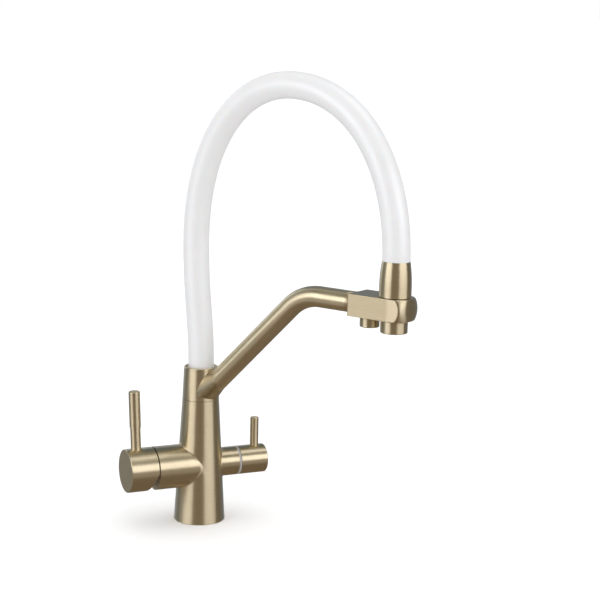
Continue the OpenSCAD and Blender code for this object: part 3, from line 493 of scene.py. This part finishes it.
def block_bronze(name):
    """The head block's finish: brushed along its sides, level round its nose and across its top and bottom.

    Past the outlet's axis the lines follow (-y, x, 0), so they leave the sides and cross the nose level.
    """
    sizes = bpy.context.scene.tap_sizes
    material, tree, shader = new_finish(name)
    turn = (0, 0, sizes.spout_turn)
    point = object_point(tree, spout_point(sizes.reach, sizes.arm_height), turn)
    x, y, z = add(tree, "ShaderNodeSeparateXYZ", {0: point}).outputs
    right_side = calc(tree, "SIGN", calc(tree, "MULTIPLY", y, -1.0))
    ahead = calc(tree, "MAXIMUM", x, 0.0)
    along = calc(tree, "MULTIPLY", right_side, calc(tree, "MAXIMUM", calc(tree, "ABSOLUTE", y), 0.0005))
    travel = add(tree, "ShaderNodeCombineXYZ", {0: along, 1: ahead}).outputs[0]
    on_top = faces_z(tree, add(tree, "ShaderNodeNewGeometry").outputs["True Normal"])
    travel = mapped(tree, mix_vectors(tree, on_top, travel, (0.0, 0.01, 0.0)), turn, "VECTOR")
    on_nose = in_range(tree, x, 0.0, 0.004, 0.0, 1.0)
    rows = calc(tree, "MULTIPLY", y, in_range(tree, on_nose, 0.0, 1.0, STREAK, 1.0))
    levels = calc(tree, "MULTIPLY", z, STREAK)
    streak = add(tree, "ShaderNodeCombineXYZ", {0: x, 1: rows, 2: levels}).outputs[0]
    streak = mix_vectors(tree, on_top, streak, straight_lines(tree, point, 1))
    dull_sides = in_range(tree, calc(tree, "MAXIMUM", on_nose, on_top), 0.0, 1.0, 0.24, 0.0)
    bronze_on(tree, shader, streak, point, to_world(tree, travel), dulling=dull_sides)
    return material


def swept_bronze(name):
    """Bronze brushed round a bent tube, by its own UV map in metres."""
    material, tree, shader = new_finish(name)
    uv = add(tree, "ShaderNodeUVMap", uv_map="finish").outputs[0]
    streak = add(tree, "ShaderNodeVectorMath", {0: uv, 1: (0.4, STREAK, 0.0)}, operation="MULTIPLY").outputs[0]
    point = add(tree, "ShaderNodeTexCoord").outputs["Object"]
    travel = add(tree, "ShaderNodeTangent", direction_type="UV_MAP", uv_map="finish").outputs[0]
    bronze_on(tree, shader, streak, point, travel, spread=0.6)
    return material


def column_bronze(name):
    """The column's finish: streaks round Z on the cone, and round X beyond it on the two bosses."""
    sizes = bpy.context.scene.tap_sizes
    material, tree, shader = new_finish(name)
    place = object_point(tree)
    sideways = (0, radians(90), 0)
    boss = object_point(tree, (0, 0, sizes.axis_height), sideways)
    x, y, z = add(tree, "ShaderNodeSeparateXYZ", {0: place}).outputs
    slope = (sizes.foot_radius - sizes.seam_radius) / sizes.seam_height
    wall = calc(tree, "SUBTRACT", sizes.foot_radius, calc(tree, "MULTIPLY", z, slope))
    beyond = calc(tree, "SUBTRACT", from_axis(tree, x, y), wall)
    on_boss = in_range(tree, beyond, 0.0002, 0.0012, 0.0, 1.0)
    travel = mix_vectors(tree, on_boss, round_axis(tree, place), round_axis(tree, boss, sideways))
    streak = mix_vectors(tree, on_boss, turned_lines(tree, place), turned_lines(tree, boss))
    bronze_on(tree, shader, streak, place, to_world(tree, travel))
    return material


def plain_finish(name, colour, shade, roughness, metallic=0.0, scale=120.0, bump=0.2, depth=0.00005,
                 specular=0.5, subsurface=0.0):
    """A moulded or raw finish: slow and fine grain in colour, gloss and height."""
    material, tree, shader = new_finish(name)
    point = object_point(tree)
    fine, slow = grain(tree, point, scale * 12, 3.0, 0.6), grain(tree, point, scale, 3.0, 0.5)
    both = calc(tree, "ADD", calc(tree, "MULTIPLY", fine, 0.5), calc(tree, "MULTIPLY", slow, 0.5))
    tree.links.new(blend_colour(tree, in_range(tree, both, 0.3, 0.7, 0.0, 1.0), shade, colour),
                   shader.inputs["Base Color"])
    dull = in_range(tree, slow, 0.3, 0.7, roughness - 0.05, roughness + 0.06)
    tree.links.new(dull, shader.inputs["Roughness"])
    height = add(tree, "ShaderNodeBump", {"Strength": bump, "Distance": depth, "Height": fine}).outputs[0]
    tree.links.new(height, shader.inputs["Normal"])
    shader.inputs["Metallic"].default_value = metallic
    shader.inputs["Specular IOR Level"].default_value = specular
    if subsurface:
        shader.inputs["Subsurface Weight"].default_value = subsurface
        shader.inputs["Subsurface Scale"].default_value = 0.002
    return material


def dress(material, *names):
    """Gives CAD nodes a material in place of their plain one."""
    for name in names:
        for slot in NODES[name].material_slots:
            slot.material = material


def spout_point(out, height):
    """A place on the spout's middle plane, in the tap's frame."""
    turn = bpy.context.scene.tap_sizes.spout_turn
    return (out * cos(turn), out * sin(turn), height)


# ---------------------------------------------------------------- pieces


def slope_of(curve, at, step=1e-5):
    """Slope (f(x + h) - f(x - h)) / 2h of a curve."""
    return (curve(at + step) - curve(at - step)) / (2 * step)


def boss_fillet_points(sizes, boss_radius, side):
    """Closed bead in the corner of a boss, of radius r, and the conical column, side -1 or +1 along X.

    At angle a round the boss the column's wall lies at S(p) = sqrt(R(z)^2 - y^2) out along the boss, with
    y = p sin a, z = axis + p cos a and R(z) the cone's radius. A circle of radius f touches the line p = r
    and the wall at p = r + f, where the wall's slope is m: its centre lies at S + f sqrt(1 + m^2). The bead
    follows that circle from atan(-m) to 90 degrees, then returns inside the metal.
    """
    f = sizes.boss_fillet
    angle = np.linspace(0, 2 * pi, 144, endpoint=False)[None, :]
    slope = (sizes.foot_radius - sizes.seam_radius) / sizes.seam_height

    def wall(p):
        z = sizes.axis_height + p * np.cos(angle)
        return np.sqrt((sizes.foot_radius - slope * z) ** 2 - (p * np.sin(angle)) ** 2)

    touch = boss_radius + f
    m = slope_of(wall, touch)
    centre = wall(touch) + f * np.sqrt(1 + m * m)
    start = np.arctan(-m)
    beta = start + (pi / 2 - start) * np.linspace(0, 1, 9)[:, None]
    out = centre - f * np.cos(beta)
    p = touch - f * np.sin(beta)
    first = (out[:1] - TUCK, p[:1] + 0 * out[:1])
    last = (out[-1:], p[-1:] - TUCK)
    inner = (out[:1] - TUCK, p[-1:] - TUCK)
    out = np.vstack([first[0], out - SKIM, last[0], inner[0]])
    p = np.vstack([first[1], p - SKIM / 2, last[1], inner[1]])
    return np.stack([side * out, p * np.sin(angle), sizes.axis_height + p * np.cos(angle)], -1)


def arm_points(sizes, sides=72):
    """The arm's tube: a flared root on the collar, a straight rise, a bend and a level end, with its bore.

    Round the rising line, at angle a and distance p, the collar's cone is met at A(p, a), the larger root
    of a quadratic. The root is a cubic curve (1-t)^3 P0 + 3(1-t)^2 t P1 + 3(1-t) t^2 P2 + t^3 P3 in (A, p):
    P0 lies on the cone at p = r + w, P2 and P3 on the tube at p = r, and P1 is pushed out along the arm, so
    that the root swells. The width w is small above and below and grows with sin(a)^2 towards the sides.
    A second, quadratic curve is the weld's fillet: it leaves the cone further out and joins the first.
    """
    corner_out = sizes.reach * sizes.arm_bend_share
    rise = atan2(sizes.arm_height - sizes.arm_root_height, corner_out)
    angle = np.linspace(0, 2 * pi, sides, endpoint=False)[None, :]
    slope = (sizes.seam_radius - sizes.collar_top_radius) / sizes.collar_height
    ca, sa = np.cos(angle), np.sin(angle)

    def wall(p):
        # |(x, y)| = seam - slope (z - bottom) with x = A cos - p ca sin, z = root + A sin + p ca cos
        x0, x1 = -p * ca * sin(rise), cos(rise)
        g0 = sizes.seam_radius - slope * (sizes.arm_root_height + p * ca * cos(rise) - sizes.collar_bottom)
        g1 = -slope * sin(rise)
        a = x1 * x1 - g1 * g1
        b = 2 * (x0 * x1 - g0 * g1)
        c = x0 ** 2 + (p * sa) ** 2 - g0 ** 2
        return (-b + np.sqrt(b * b - 4 * a * c)) / (2 * a)

    side = (sa * (1 + 0.5 * np.minimum(ca, 0))) ** 2
    radius, spread = sizes.arm_radius, sizes.arm_flare * side
    touch = radius + ROOT_TOP + ROOT_BELOW * (1 - ca) / 2 - ROOT_SIDE * side + spread
    foot, corner = wall(touch), wall(touch) + slope_of(wall, touch) * (radius - touch)
    rim = np.maximum(wall(radius), corner) + ROOT_RISE + FLARE_RUN * spread
    t = np.linspace(0.12, 1, 12)[:, None]
    swell = (foot + corner) / 2 + FLARE_SWELL * spread
    landing = corner + LANDING * (rim - corner)
    out = bezier_value(t, foot, swell, landing, rim)
    p = bezier_value(t, touch, (touch + radius) / 2, radius, radius)
    weld = touch + WELD * (1 + 2 * side)
    tuck = weld + TUCK
    t = np.linspace(0, 1, 8)[:-1, None]
    weld_out = bezier_value(t, wall(weld), foot, out[:1])
    weld_p = bezier_value(t, weld, touch, p[:1])
    out = np.vstack([wall(tuck) - TUCK / 3, weld_out - SKIM, out - SKIM])
    p = np.vstack([tuck, weld_p, p])
    tangent = sizes.arm_bend_radius * tan(rise / 2)
    length = (sizes.arm_height - sizes.arm_root_height) / sin(rise) - tangent
    steps = np.linspace(0, 1, 14)[1:, None]
    straight = out[-1:] * (1 - steps) + length * steps
    out = np.vstack([out, straight])
    p = np.vstack([p, np.full(straight.shape, radius)])
    x = out * cos(rise) - p * ca * sin(rise)
    z = sizes.arm_root_height + out * sin(rise) + p * ca * cos(rise)
    rising = np.stack([x, p * sa, z], -1)

    turn = rise * (1 - np.linspace(0, 1, 21)[1:])
    level = corner_out + tangent
    bend = np.stack([level - sizes.arm_bend_radius * np.sin(turn),
                     sizes.arm_height - sizes.arm_bend_radius * (1 - np.cos(turn))], 1)
    way = np.stack([np.cos(turn), np.sin(turn)], 1)
    ends = np.array([0.25, 0.5, 0.75, 1.0])
    flat = np.stack([level + (sizes.arm_end - level) * ends, np.full(4, sizes.arm_height)], 1)
    flat_way = np.tile([1.0, 0.0], (4, 1))
    outer = pipe_rings(np.vstack([bend, flat]), np.vstack([way, flat_way]), radius, sides)

    bore = radius - sizes.arm_wall
    inner_line, inner_way = np.vstack([flat[::-1], bend[::-1]]), np.vstack([flat_way, way[::-1]])
    inner = pipe_rings(inner_line, inner_way, bore, sides)
    back_out = np.linspace(length, 0, 8)[:, None] * np.ones_like(angle)
    back_out = np.maximum(back_out, wall(bore) - 0.0012)
    x = back_out * cos(rise) - bore * ca * sin(rise)
    z = sizes.arm_root_height + back_out * sin(rise) + bore * ca * cos(rise)
    back = np.stack([x, bore * sa + 0 * x, z], -1)
    return np.concatenate([rising, outer, inner, back[:-2]])


def hose_line(sizes, count):
    """The hose's centre line in the spout's plane, three cubic curves by way of its bow and its top."""
    foot, end = (0, sizes.hose_foot), (sizes.reach, sizes.hose_end)
    bow, top = (-sizes.hose_bow, sizes.hose_bow_height), (sizes.hose_top_out, sizes.hose_top_height)
    above_foot, below_bow, above_bow = 0.049, 0.054, 0.098
    before_top, past_top, above_end = 0.060, 0.070, 0.088
    first = bezier(foot, (0, foot[1] + above_foot), (bow[0], bow[1] - below_bow), bow, count)
    second = bezier(bow, (bow[0], bow[1] + above_bow), (top[0] - before_top, top[1]), top, count)
    third = bezier(top, (top[0] + past_top, top[1]), (end[0], end[1] + above_end), end, count)
    return [np.vstack([first[k], second[k][1:], third[k][1:]]) for k in (0, 1)]


def hose_points(sizes, sides=64, steps=34):
    """The silicone hose: rings of radius r along its line out and of its bore back, with rounded rims."""
    place, heading = hose_line(sizes, steps)
    sunk_foot, sunk_end, edge = 0.0006, 0.0008, 0.0006
    place = np.vstack([place[:1] - sunk_foot * heading[:1], place[1:-1], place[-1:] + sunk_end * heading[-1:]])
    beta = np.linspace(0, pi / 2, 5)
    rim = edge * (1 - np.sin(beta))
    along = edge * (1 - np.cos(beta))
    start = place[:1] + heading[:1] * along[:, None]
    finish = place[-1:] - heading[-1:] * along[::-1][:, None]
    line = np.vstack([start, place[1:-1], finish])
    way = np.vstack([np.repeat(heading[:1], 5, 0), heading[1:-1], np.repeat(heading[-1:], 5, 0)])
    radius = np.concatenate([sizes.hose_radius - rim, np.full(len(place) - 2, sizes.hose_radius),
                             sizes.hose_radius - rim[::-1]])
    outer = pipe_rings(line, way, radius, sides)
    inner = pipe_rings(place[::-1], heading[::-1], sizes.hose_bore, sides)
    return np.concatenate([outer, inner])


def block_field(sizes, x, y, z):
    """Distance-like field of the head block: sqrt(sum(max(d + e, 0)^2)) - e over its faces' distances d.

    The faces are two pairs of planes, the rear plane and the nose, which is itself such a field of its ball
    and its flat with the wider radius f. Where two faces meet, the field rounds the edge with radius e.
    """
    e, f = sizes.block_edge, sizes.nose_edge
    ball = np.sqrt(np.maximum(x - sizes.reach, 0) ** 2 + y ** 2 + z ** 2) - sizes.block_ball
    flat = x - sizes.reach - sizes.block_flat
    nose = np.sqrt(np.maximum(ball + f, 0) ** 2 + np.maximum(flat + f, 0) ** 2) - f
    faces = (np.abs(y) - sizes.block_width / 2, np.abs(z) - sizes.block_height / 2, sizes.arm_end - x,
             np.where(x > sizes.reach, nose, -1.0))
    return np.sqrt(sum(np.maximum(d + e, 0) ** 2 for d in faces)) - e


def block_points(sizes):
    """The head block: at each x, the field's zero is found outwards from the middle by halving."""
    e, f = sizes.block_edge, sizes.nose_edge
    nose = sizes.reach + sizes.block_flat
    arc = 1 - np.cos(np.linspace(0, pi / 2, 6))
    round_arc = 1 - np.cos(np.linspace(0, pi / 2, 18))
    x = np.concatenate([
        sizes.arm_end + e * arc,
        np.linspace(sizes.arm_end + 2 * e, sizes.reach - 0.0005, 22),
        np.linspace(sizes.reach, nose - 1.1 * f, 54),
        nose - f * round_arc[::-1],
    ])[:, None]
    corner = atan2(sizes.block_height, sizes.block_width)
    near = np.linspace(-0.09, 0.09, 15)
    quarter = np.concatenate([np.linspace(0, corner - 0.1, 22), corner + near,
                              np.linspace(corner + 0.1, pi / 2, 34)[:-1]])
    angle = np.concatenate([quarter, pi - quarter[1:][::-1], pi + quarter, 2 * pi - quarter[1:][::-1]])
    angle = np.unique(np.round(np.concatenate([angle, [pi / 2, 3 * pi / 2]]), 9))[None, :]
    low = np.zeros((len(x), angle.shape[1]))
    high = low + 0.03
    for _ in range(40):
        middle = (low + high) / 2
        inside = block_field(sizes, x, middle * np.cos(angle), middle * np.sin(angle)) < 0
        low, high = np.where(inside, middle, low), np.where(inside, high, middle)
    return np.stack([x + 0 * low, low * np.cos(angle), sizes.arm_height + low * np.sin(angle)], -1)


# ---------------------------------------------------------------- operators


class TAP_OT_column(bpy.types.Operator):
    """Finishes the column and adds the fillets where its two bosses grow out of it"""

    bl_idname = "tap.column"
    bl_label = "Column and bosses"

    def execute(self, context):
        sizes = context.scene.tap_sizes
        bronze = column_bronze("column_bronze")
        dress(bronze, "column_body")
        for name, radius, side in (("mixer", sizes.mixer_radius, -1), ("filter", sizes.filter_radius, 1)):
            points = boss_fillet_points(sizes, radius, side)
            skin(f"{name}_boss_fillet", points, "tap_body", bronze, along=True)
        sideways = turned_bronze("boss_bronze", (0, 0, sizes.axis_height), (0, radians(90), 0))
        dress(sideways, "boss_trim_ring", "mixer_handle_cap", "filter_knob")
        dress(turned_bronze("collar_bronze"), "swivel_collar")
        return {"FINISHED"}


class TAP_OT_arm(bpy.types.Operator):
    """Builds the bent support arm with its flared root on the collar"""

    bl_idname = "tap.arm"
    bl_label = "Support arm"

    def execute(self, context):
        sizes = context.scene.tap_sizes
        bronze = swept_bronze("arm_bronze")
        skin("arm_tube", spout_place(arm_points(sizes)), "spout", bronze, along=True,
             stands_for=["support_arm"], uv_size=(0.06, 0.5))
        return {"FINISHED"}


class TAP_OT_head(bpy.types.Operator):
    """Builds the head block with its rounded edges and finishes the ferrule and the outlets"""

    bl_idname = "tap.head"
    bl_label = "Head block, ferrule and outlets"

    def execute(self, context):
        sizes = context.scene.tap_sizes
        skin("head_shell", spout_place(block_points(sizes)), "spout",
             block_bronze("block_bronze"), stands_for=["head_block"])
        dress(turned_bronze("ferrule_bronze", spout_point(sizes.reach, 0)), "hose_ferrule", "main_outlet_ring")
        small = spout_point(sizes.reach - sizes.filter_outlet_back, 0)
        dress(turned_bronze("filter_outlet_bronze", small), "filter_outlet_ring")
        return {"FINISHED"}


class TAP_OT_hose(bpy.types.Operator):
    """Builds the white silicone hose along its real route"""

    bl_idname = "tap.hose"
    bl_label = "Silicone hose"

    def execute(self, context):
        sizes, colours = context.scene.tap_sizes, context.scene.tap_colours
        shade = [c * 0.97 for c in colours.hose]
        silicone = plain_finish("silicone", colours.hose, shade, 0.42, scale=60.0, bump=0.12, subsurface=0.15)
        skin("hose_tube", spout_place(hose_points(sizes)), "spout", silicone, along=True,
             stands_for=["silicone_hose"], uv_size=(0.08, 1.1))
        return {"FINISHED"}


class TAP_OT_levers(bpy.types.Operator):
    """Finishes the mixer lever's rod and grip and the filter lever"""

    bl_idname = "tap.levers"
    bl_label = "Levers"

    def execute(self, context):
        sizes = context.scene.tap_sizes
        rod_foot = (-sizes.lever_out, 0, sizes.axis_height)
        dress(turned_bronze("lever_bronze", rod_foot, (0, -sizes.lever_lean, 0)), "mixer_lever_rod",
              "mixer_lever_grip")
        dress(turned_bronze("pin_bronze", (sizes.pin_out, 0, sizes.axis_height)), "filter_lever_pin")
        return {"FINISHED"}


class TAP_OT_inside(bpy.types.Operator):
    """Finishes the seals, discs, screws and other parts inside, each after its material"""

    bl_idname = "tap.inside"
    bl_label = "Parts inside"

    def execute(self, context):
        colours = context.scene.tap_colours
        slots = {}
        for name, node in NODES.items():
            for slot in node.material_slots:
                slots.setdefault(slot.material.name.split(".")[0], []).append(name)
        finishes = {
            "brass": plain_finish("raw_brass", (0.72, 0.53, 0.25), (0.60, 0.42, 0.19), 0.30, metallic=1.0),
            "steel": plain_finish("stainless_steel", (0.62, 0.62, 0.60), (0.50, 0.50, 0.49), 0.28,
                                  metallic=1.0),
            "rubber": plain_finish("black_rubber", (0.022, 0.022, 0.024), (0.012, 0.012, 0.013), 0.62),
            "ceramic": plain_finish("ceramic", (0.84, 0.84, 0.82), (0.76, 0.76, 0.75), 0.16),
            "cartridge_plastic": plain_finish("cartridge_plastic", (0.30, 0.31, 0.33), (0.24, 0.25, 0.27),
                                              0.48),
            "white_nylon": plain_finish("white_nylon", colours.nylon, [c * 0.93 for c in colours.nylon], 0.38),
            "water_hose": plain_finish("water_hose", (0.55, 0.57, 0.60), (0.46, 0.48, 0.51), 0.40),
        }
        for slot, material in finishes.items():
            dress(material, *slots.get(slot, []))
        return {"FINISHED"}


def aim(obj, place, target):
    """Puts a light or camera at a place with its -Z towards the target."""
    place, target = Vector(place), Vector(target)
    turn = (target - place).to_track_quat("-Z", "Y")
    obj.matrix_world = Matrix.Translation(place) @ turn.to_matrix().to_4x4()


def softbox(name, azimuth, elevation, half_width, half_height, radiance):
    """A softbox seen from the tap in a direction, brightest in its middle: three rectangles, one in another.

    Angles are in degrees and the radiance is that of its middle. A rectangle's power is gain x its share of
    the radiance x area x pi.
    """
    centre = Vector((0.04, -0.06, 0.2))
    a, e = radians(azimuth), radians(elevation)
    for step, (share, spread) in enumerate(BOX_LAYERS):
        light = bpy.data.lights.new(f"{name}_{step}", "AREA")
        light.shape = "RECTANGLE"
        light.size = 2 * BOX_DISTANCE * tan(radians(half_width * spread))
        light.size_y = 2 * BOX_DISTANCE * tan(radians(half_height * (1 + BOX_TALL * (spread - 1))))
        light.energy = LIGHT_GAIN * radiance * share * light.size * light.size_y * pi
        light.color = LIGHT_COLOUR
        box = bpy.data.objects.new(light.name, light)
        bpy.context.scene.collection.objects.link(box)
        aim(box, centre + BOX_DISTANCE * Vector((cos(a) * cos(e), sin(a) * cos(e), sin(e))), centre)
        box.visible_camera = False
        box.visible_diffuse = False


def surroundings(studio):
    """The room: white to the camera, a white tent to dull surfaces, and dim walls to glossy ones.

    The walls are warm towards the front and cool behind the tap. At the far left they are dark low down and
    lighter above the horizon. High up the room is dim and greenish, and below it is brown.
    """
    world = bpy.data.worlds.new("surroundings")
    bpy.context.scene.world = world
    world.use_nodes = True
    tree = world.node_tree
    tree.nodes.clear()
    way = add(tree, "ShaderNodeTexCoord").outputs["Generated"]
    height = add(tree, "ShaderNodeSeparateXYZ", {0: way}).outputs[2]

    def towards(azimuth, low, high):
        heading = (cos(radians(azimuth)), sin(radians(azimuth)), 0.0)
        dot = add(tree, "ShaderNodeVectorMath", {0: way, 1: heading}, operation="DOT_PRODUCT").outputs["Value"]
        return in_range(tree, dot, low, high, 0.0, 1.0)

    front, back, far_left = -111, 80, 138
    walls = blend_colour(tree, towards(front, -0.2, 0.9), (0.165, 0.150, 0.125), (0.265, 0.228, 0.185))
    walls = blend_colour(tree, towards(back, 0.1, 0.85), walls, (0.235, 0.285, 0.370))
    low, high = in_range(tree, height, -0.15, 0.08, 1.0, 0.0), in_range(tree, height, -0.05, 0.08, 0.0, 1.0)
    low_left = calc(tree, "MULTIPLY", towards(far_left, 0.80, 0.99), low)
    walls = blend_colour(tree, low_left, walls, (0.122, 0.145, 0.150))
    high_left = calc(tree, "MULTIPLY", towards(far_left, 0.80, 0.97), high)
    walls = blend_colour(tree, high_left, walls, (0.34, 0.36, 0.34))
    above = blend_colour(tree, towards(back, 0.30, 0.60), (0.245, 0.25, 0.22), (0.105, 0.135, 0.150))
    walls = blend_colour(tree, in_range(tree, height, 0.4, 0.7, 0.0, 1.0), walls, above)
    room = blend_colour(tree, in_range(tree, height, -0.75, -0.25, 0.0, 1.0), (0.20, 0.16, 0.12), walls)
    path = add(tree, "ShaderNodeLightPath").outputs
    tent = [studio.tent_strength] * 3
    seen = blend_colour(tree, path["Is Diffuse Ray"], room, tent)
    seen = blend_colour(tree, path["Is Camera Ray"], seen, (1.0, 1.0, 1.0))
    shade = add(tree, "ShaderNodeBackground", {"Color": seen, "Strength": 1.0})
    output = add(tree, "ShaderNodeOutputWorld")
    tree.links.new(shade.outputs[0], output.inputs[0])


class TAP_OT_stage(bpy.types.Operator):
    """Sets the pale floor, the softboxes, the surroundings and the camera"""

    bl_idname = "tap.stage"
    bl_label = "Stage, lights and camera"

    def execute(self, context):
        scene, studio = context.scene, context.scene.tap_studio
        # name, azimuth, elevation, half width, half height, radiance
        softbox("left_box", -171, 16, 16, 18, studio.left_strength)
        softbox("right_box", -60, 17, 19, 16, studio.right_strength)
        softbox("top_box", -31, 67, 8, 14, studio.top_strength)
        softbox("left_low", 168, -28, 16, 14, 0.14 * studio.left_strength)
        softbox("right_low", -62, -16, 20, 14, 0.08 * studio.right_strength)
        softbox("back_box", 104, 13, 10, 14, 0.44 * studio.left_strength)
        softbox("side_box", 55, -5, 9, 9, 0.33 * studio.right_strength)
        fill = bpy.data.lights.new("fill", "SUN")
        fill.energy, fill.angle = studio.fill_strength, radians(90)
        fill = bpy.data.objects.new("fill", fill)
        scene.collection.objects.link(fill)
        fill.visible_glossy = False

        sides = 96
        angle = np.linspace(0, 2 * pi, sides, endpoint=False)
        rings = np.array([0.4, 1.2, 6.0, 80.0])[:, None]
        grid = np.stack([rings * np.cos(angle), rings * np.sin(angle), 0 * rings * angle], -1)
        verts = np.vstack([grid.reshape(-1, 3), [[0, 0, 0]]])
        j = np.arange(sides)
        fan = np.stack([j, (j + 1) % sides, np.full(sides, len(verts) - 1)], 1)
        faces = grid_faces(len(rings), sides, True, False)[:, ::-1]
        mesh = bpy.data.meshes.new("floor")
        mesh.from_pydata(verts.tolist(), [], faces.tolist() + fan.tolist())
        floor = bpy.data.objects.new("floor", mesh)
        scene.collection.objects.link(floor)
        colour = tuple(studio.floor)
        mesh.materials.append(plain_finish("floor_paper", colour, colour, 0.8, scale=3.0, bump=0.0))
        floor.visible_glossy = floor.visible_diffuse = floor.visible_shadow = False

        surroundings(studio)
        data = bpy.data.cameras.new("camera")
        data.sensor_width = 36.0
        data.lens = studio.lens
        data.clip_start, data.clip_end = 0.05, 200.0
        camera = bpy.data.objects.new("camera", data)
        scene.collection.objects.link(camera)
        turn = studio.camera_turn.to_matrix().to_4x4()
        camera.matrix_world = Matrix.Translation(studio.camera_place) @ turn
        scene.camera = camera
        scene.view_settings.view_transform = "Standard"
        return {"FINISHED"}


class TAP_PT_panel(bpy.types.Panel):
    """Lists the sizes, the colours and the steps"""

    bl_label = "Three way tap"
    bl_idname = "TAP_PT_panel"
    bl_space_type = "VIEW_3D"
    bl_region_type = "UI"
    bl_category = "Tap"

    def draw(self, context):
        column = self.layout.column()
        for group in (context.scene.tap_sizes, context.scene.tap_colours, context.scene.tap_studio):
            for name in group.bl_rna.properties.keys():
                if name not in ("rna_type", "name"):
                    column.prop(group, name)
        for step in STEPS:
            column.operator(step.bl_idname)


STEPS = (TAP_OT_stage, TAP_OT_inside, TAP_OT_column, TAP_OT_arm, TAP_OT_head, TAP_OT_hose, TAP_OT_levers)
GROUPS = (TapSizes, TapColours, TapStudio)


def register():
    for kind in (*GROUPS, *STEPS, TAP_PT_panel):
        bpy.utils.register_class(kind)
    bpy.types.Scene.tap_sizes = bpy.props.PointerProperty(type=TapSizes)
    bpy.types.Scene.tap_colours = bpy.props.PointerProperty(type=TapColours)
    bpy.types.Scene.tap_studio = bpy.props.PointerProperty(type=TapStudio)


def unregister():
    for name in ("tap_sizes", "tap_colours", "tap_studio"):
        delattr(bpy.types.Scene, name)
    for kind in (TAP_PT_panel, *reversed(STEPS), *reversed(GROUPS)):
        bpy.utils.unregister_class(kind)


def main():
    """Builds the whole tap."""
    register()
    bpy.ops.tap.stage()
    bpy.ops.tap.inside()
    bpy.ops.tap.column()
    bpy.ops.tap.arm()
    bpy.ops.tap.head()
    bpy.ops.tap.hose()
    bpy.ops.tap.levers()


if __name__ == "__main__":
    main()
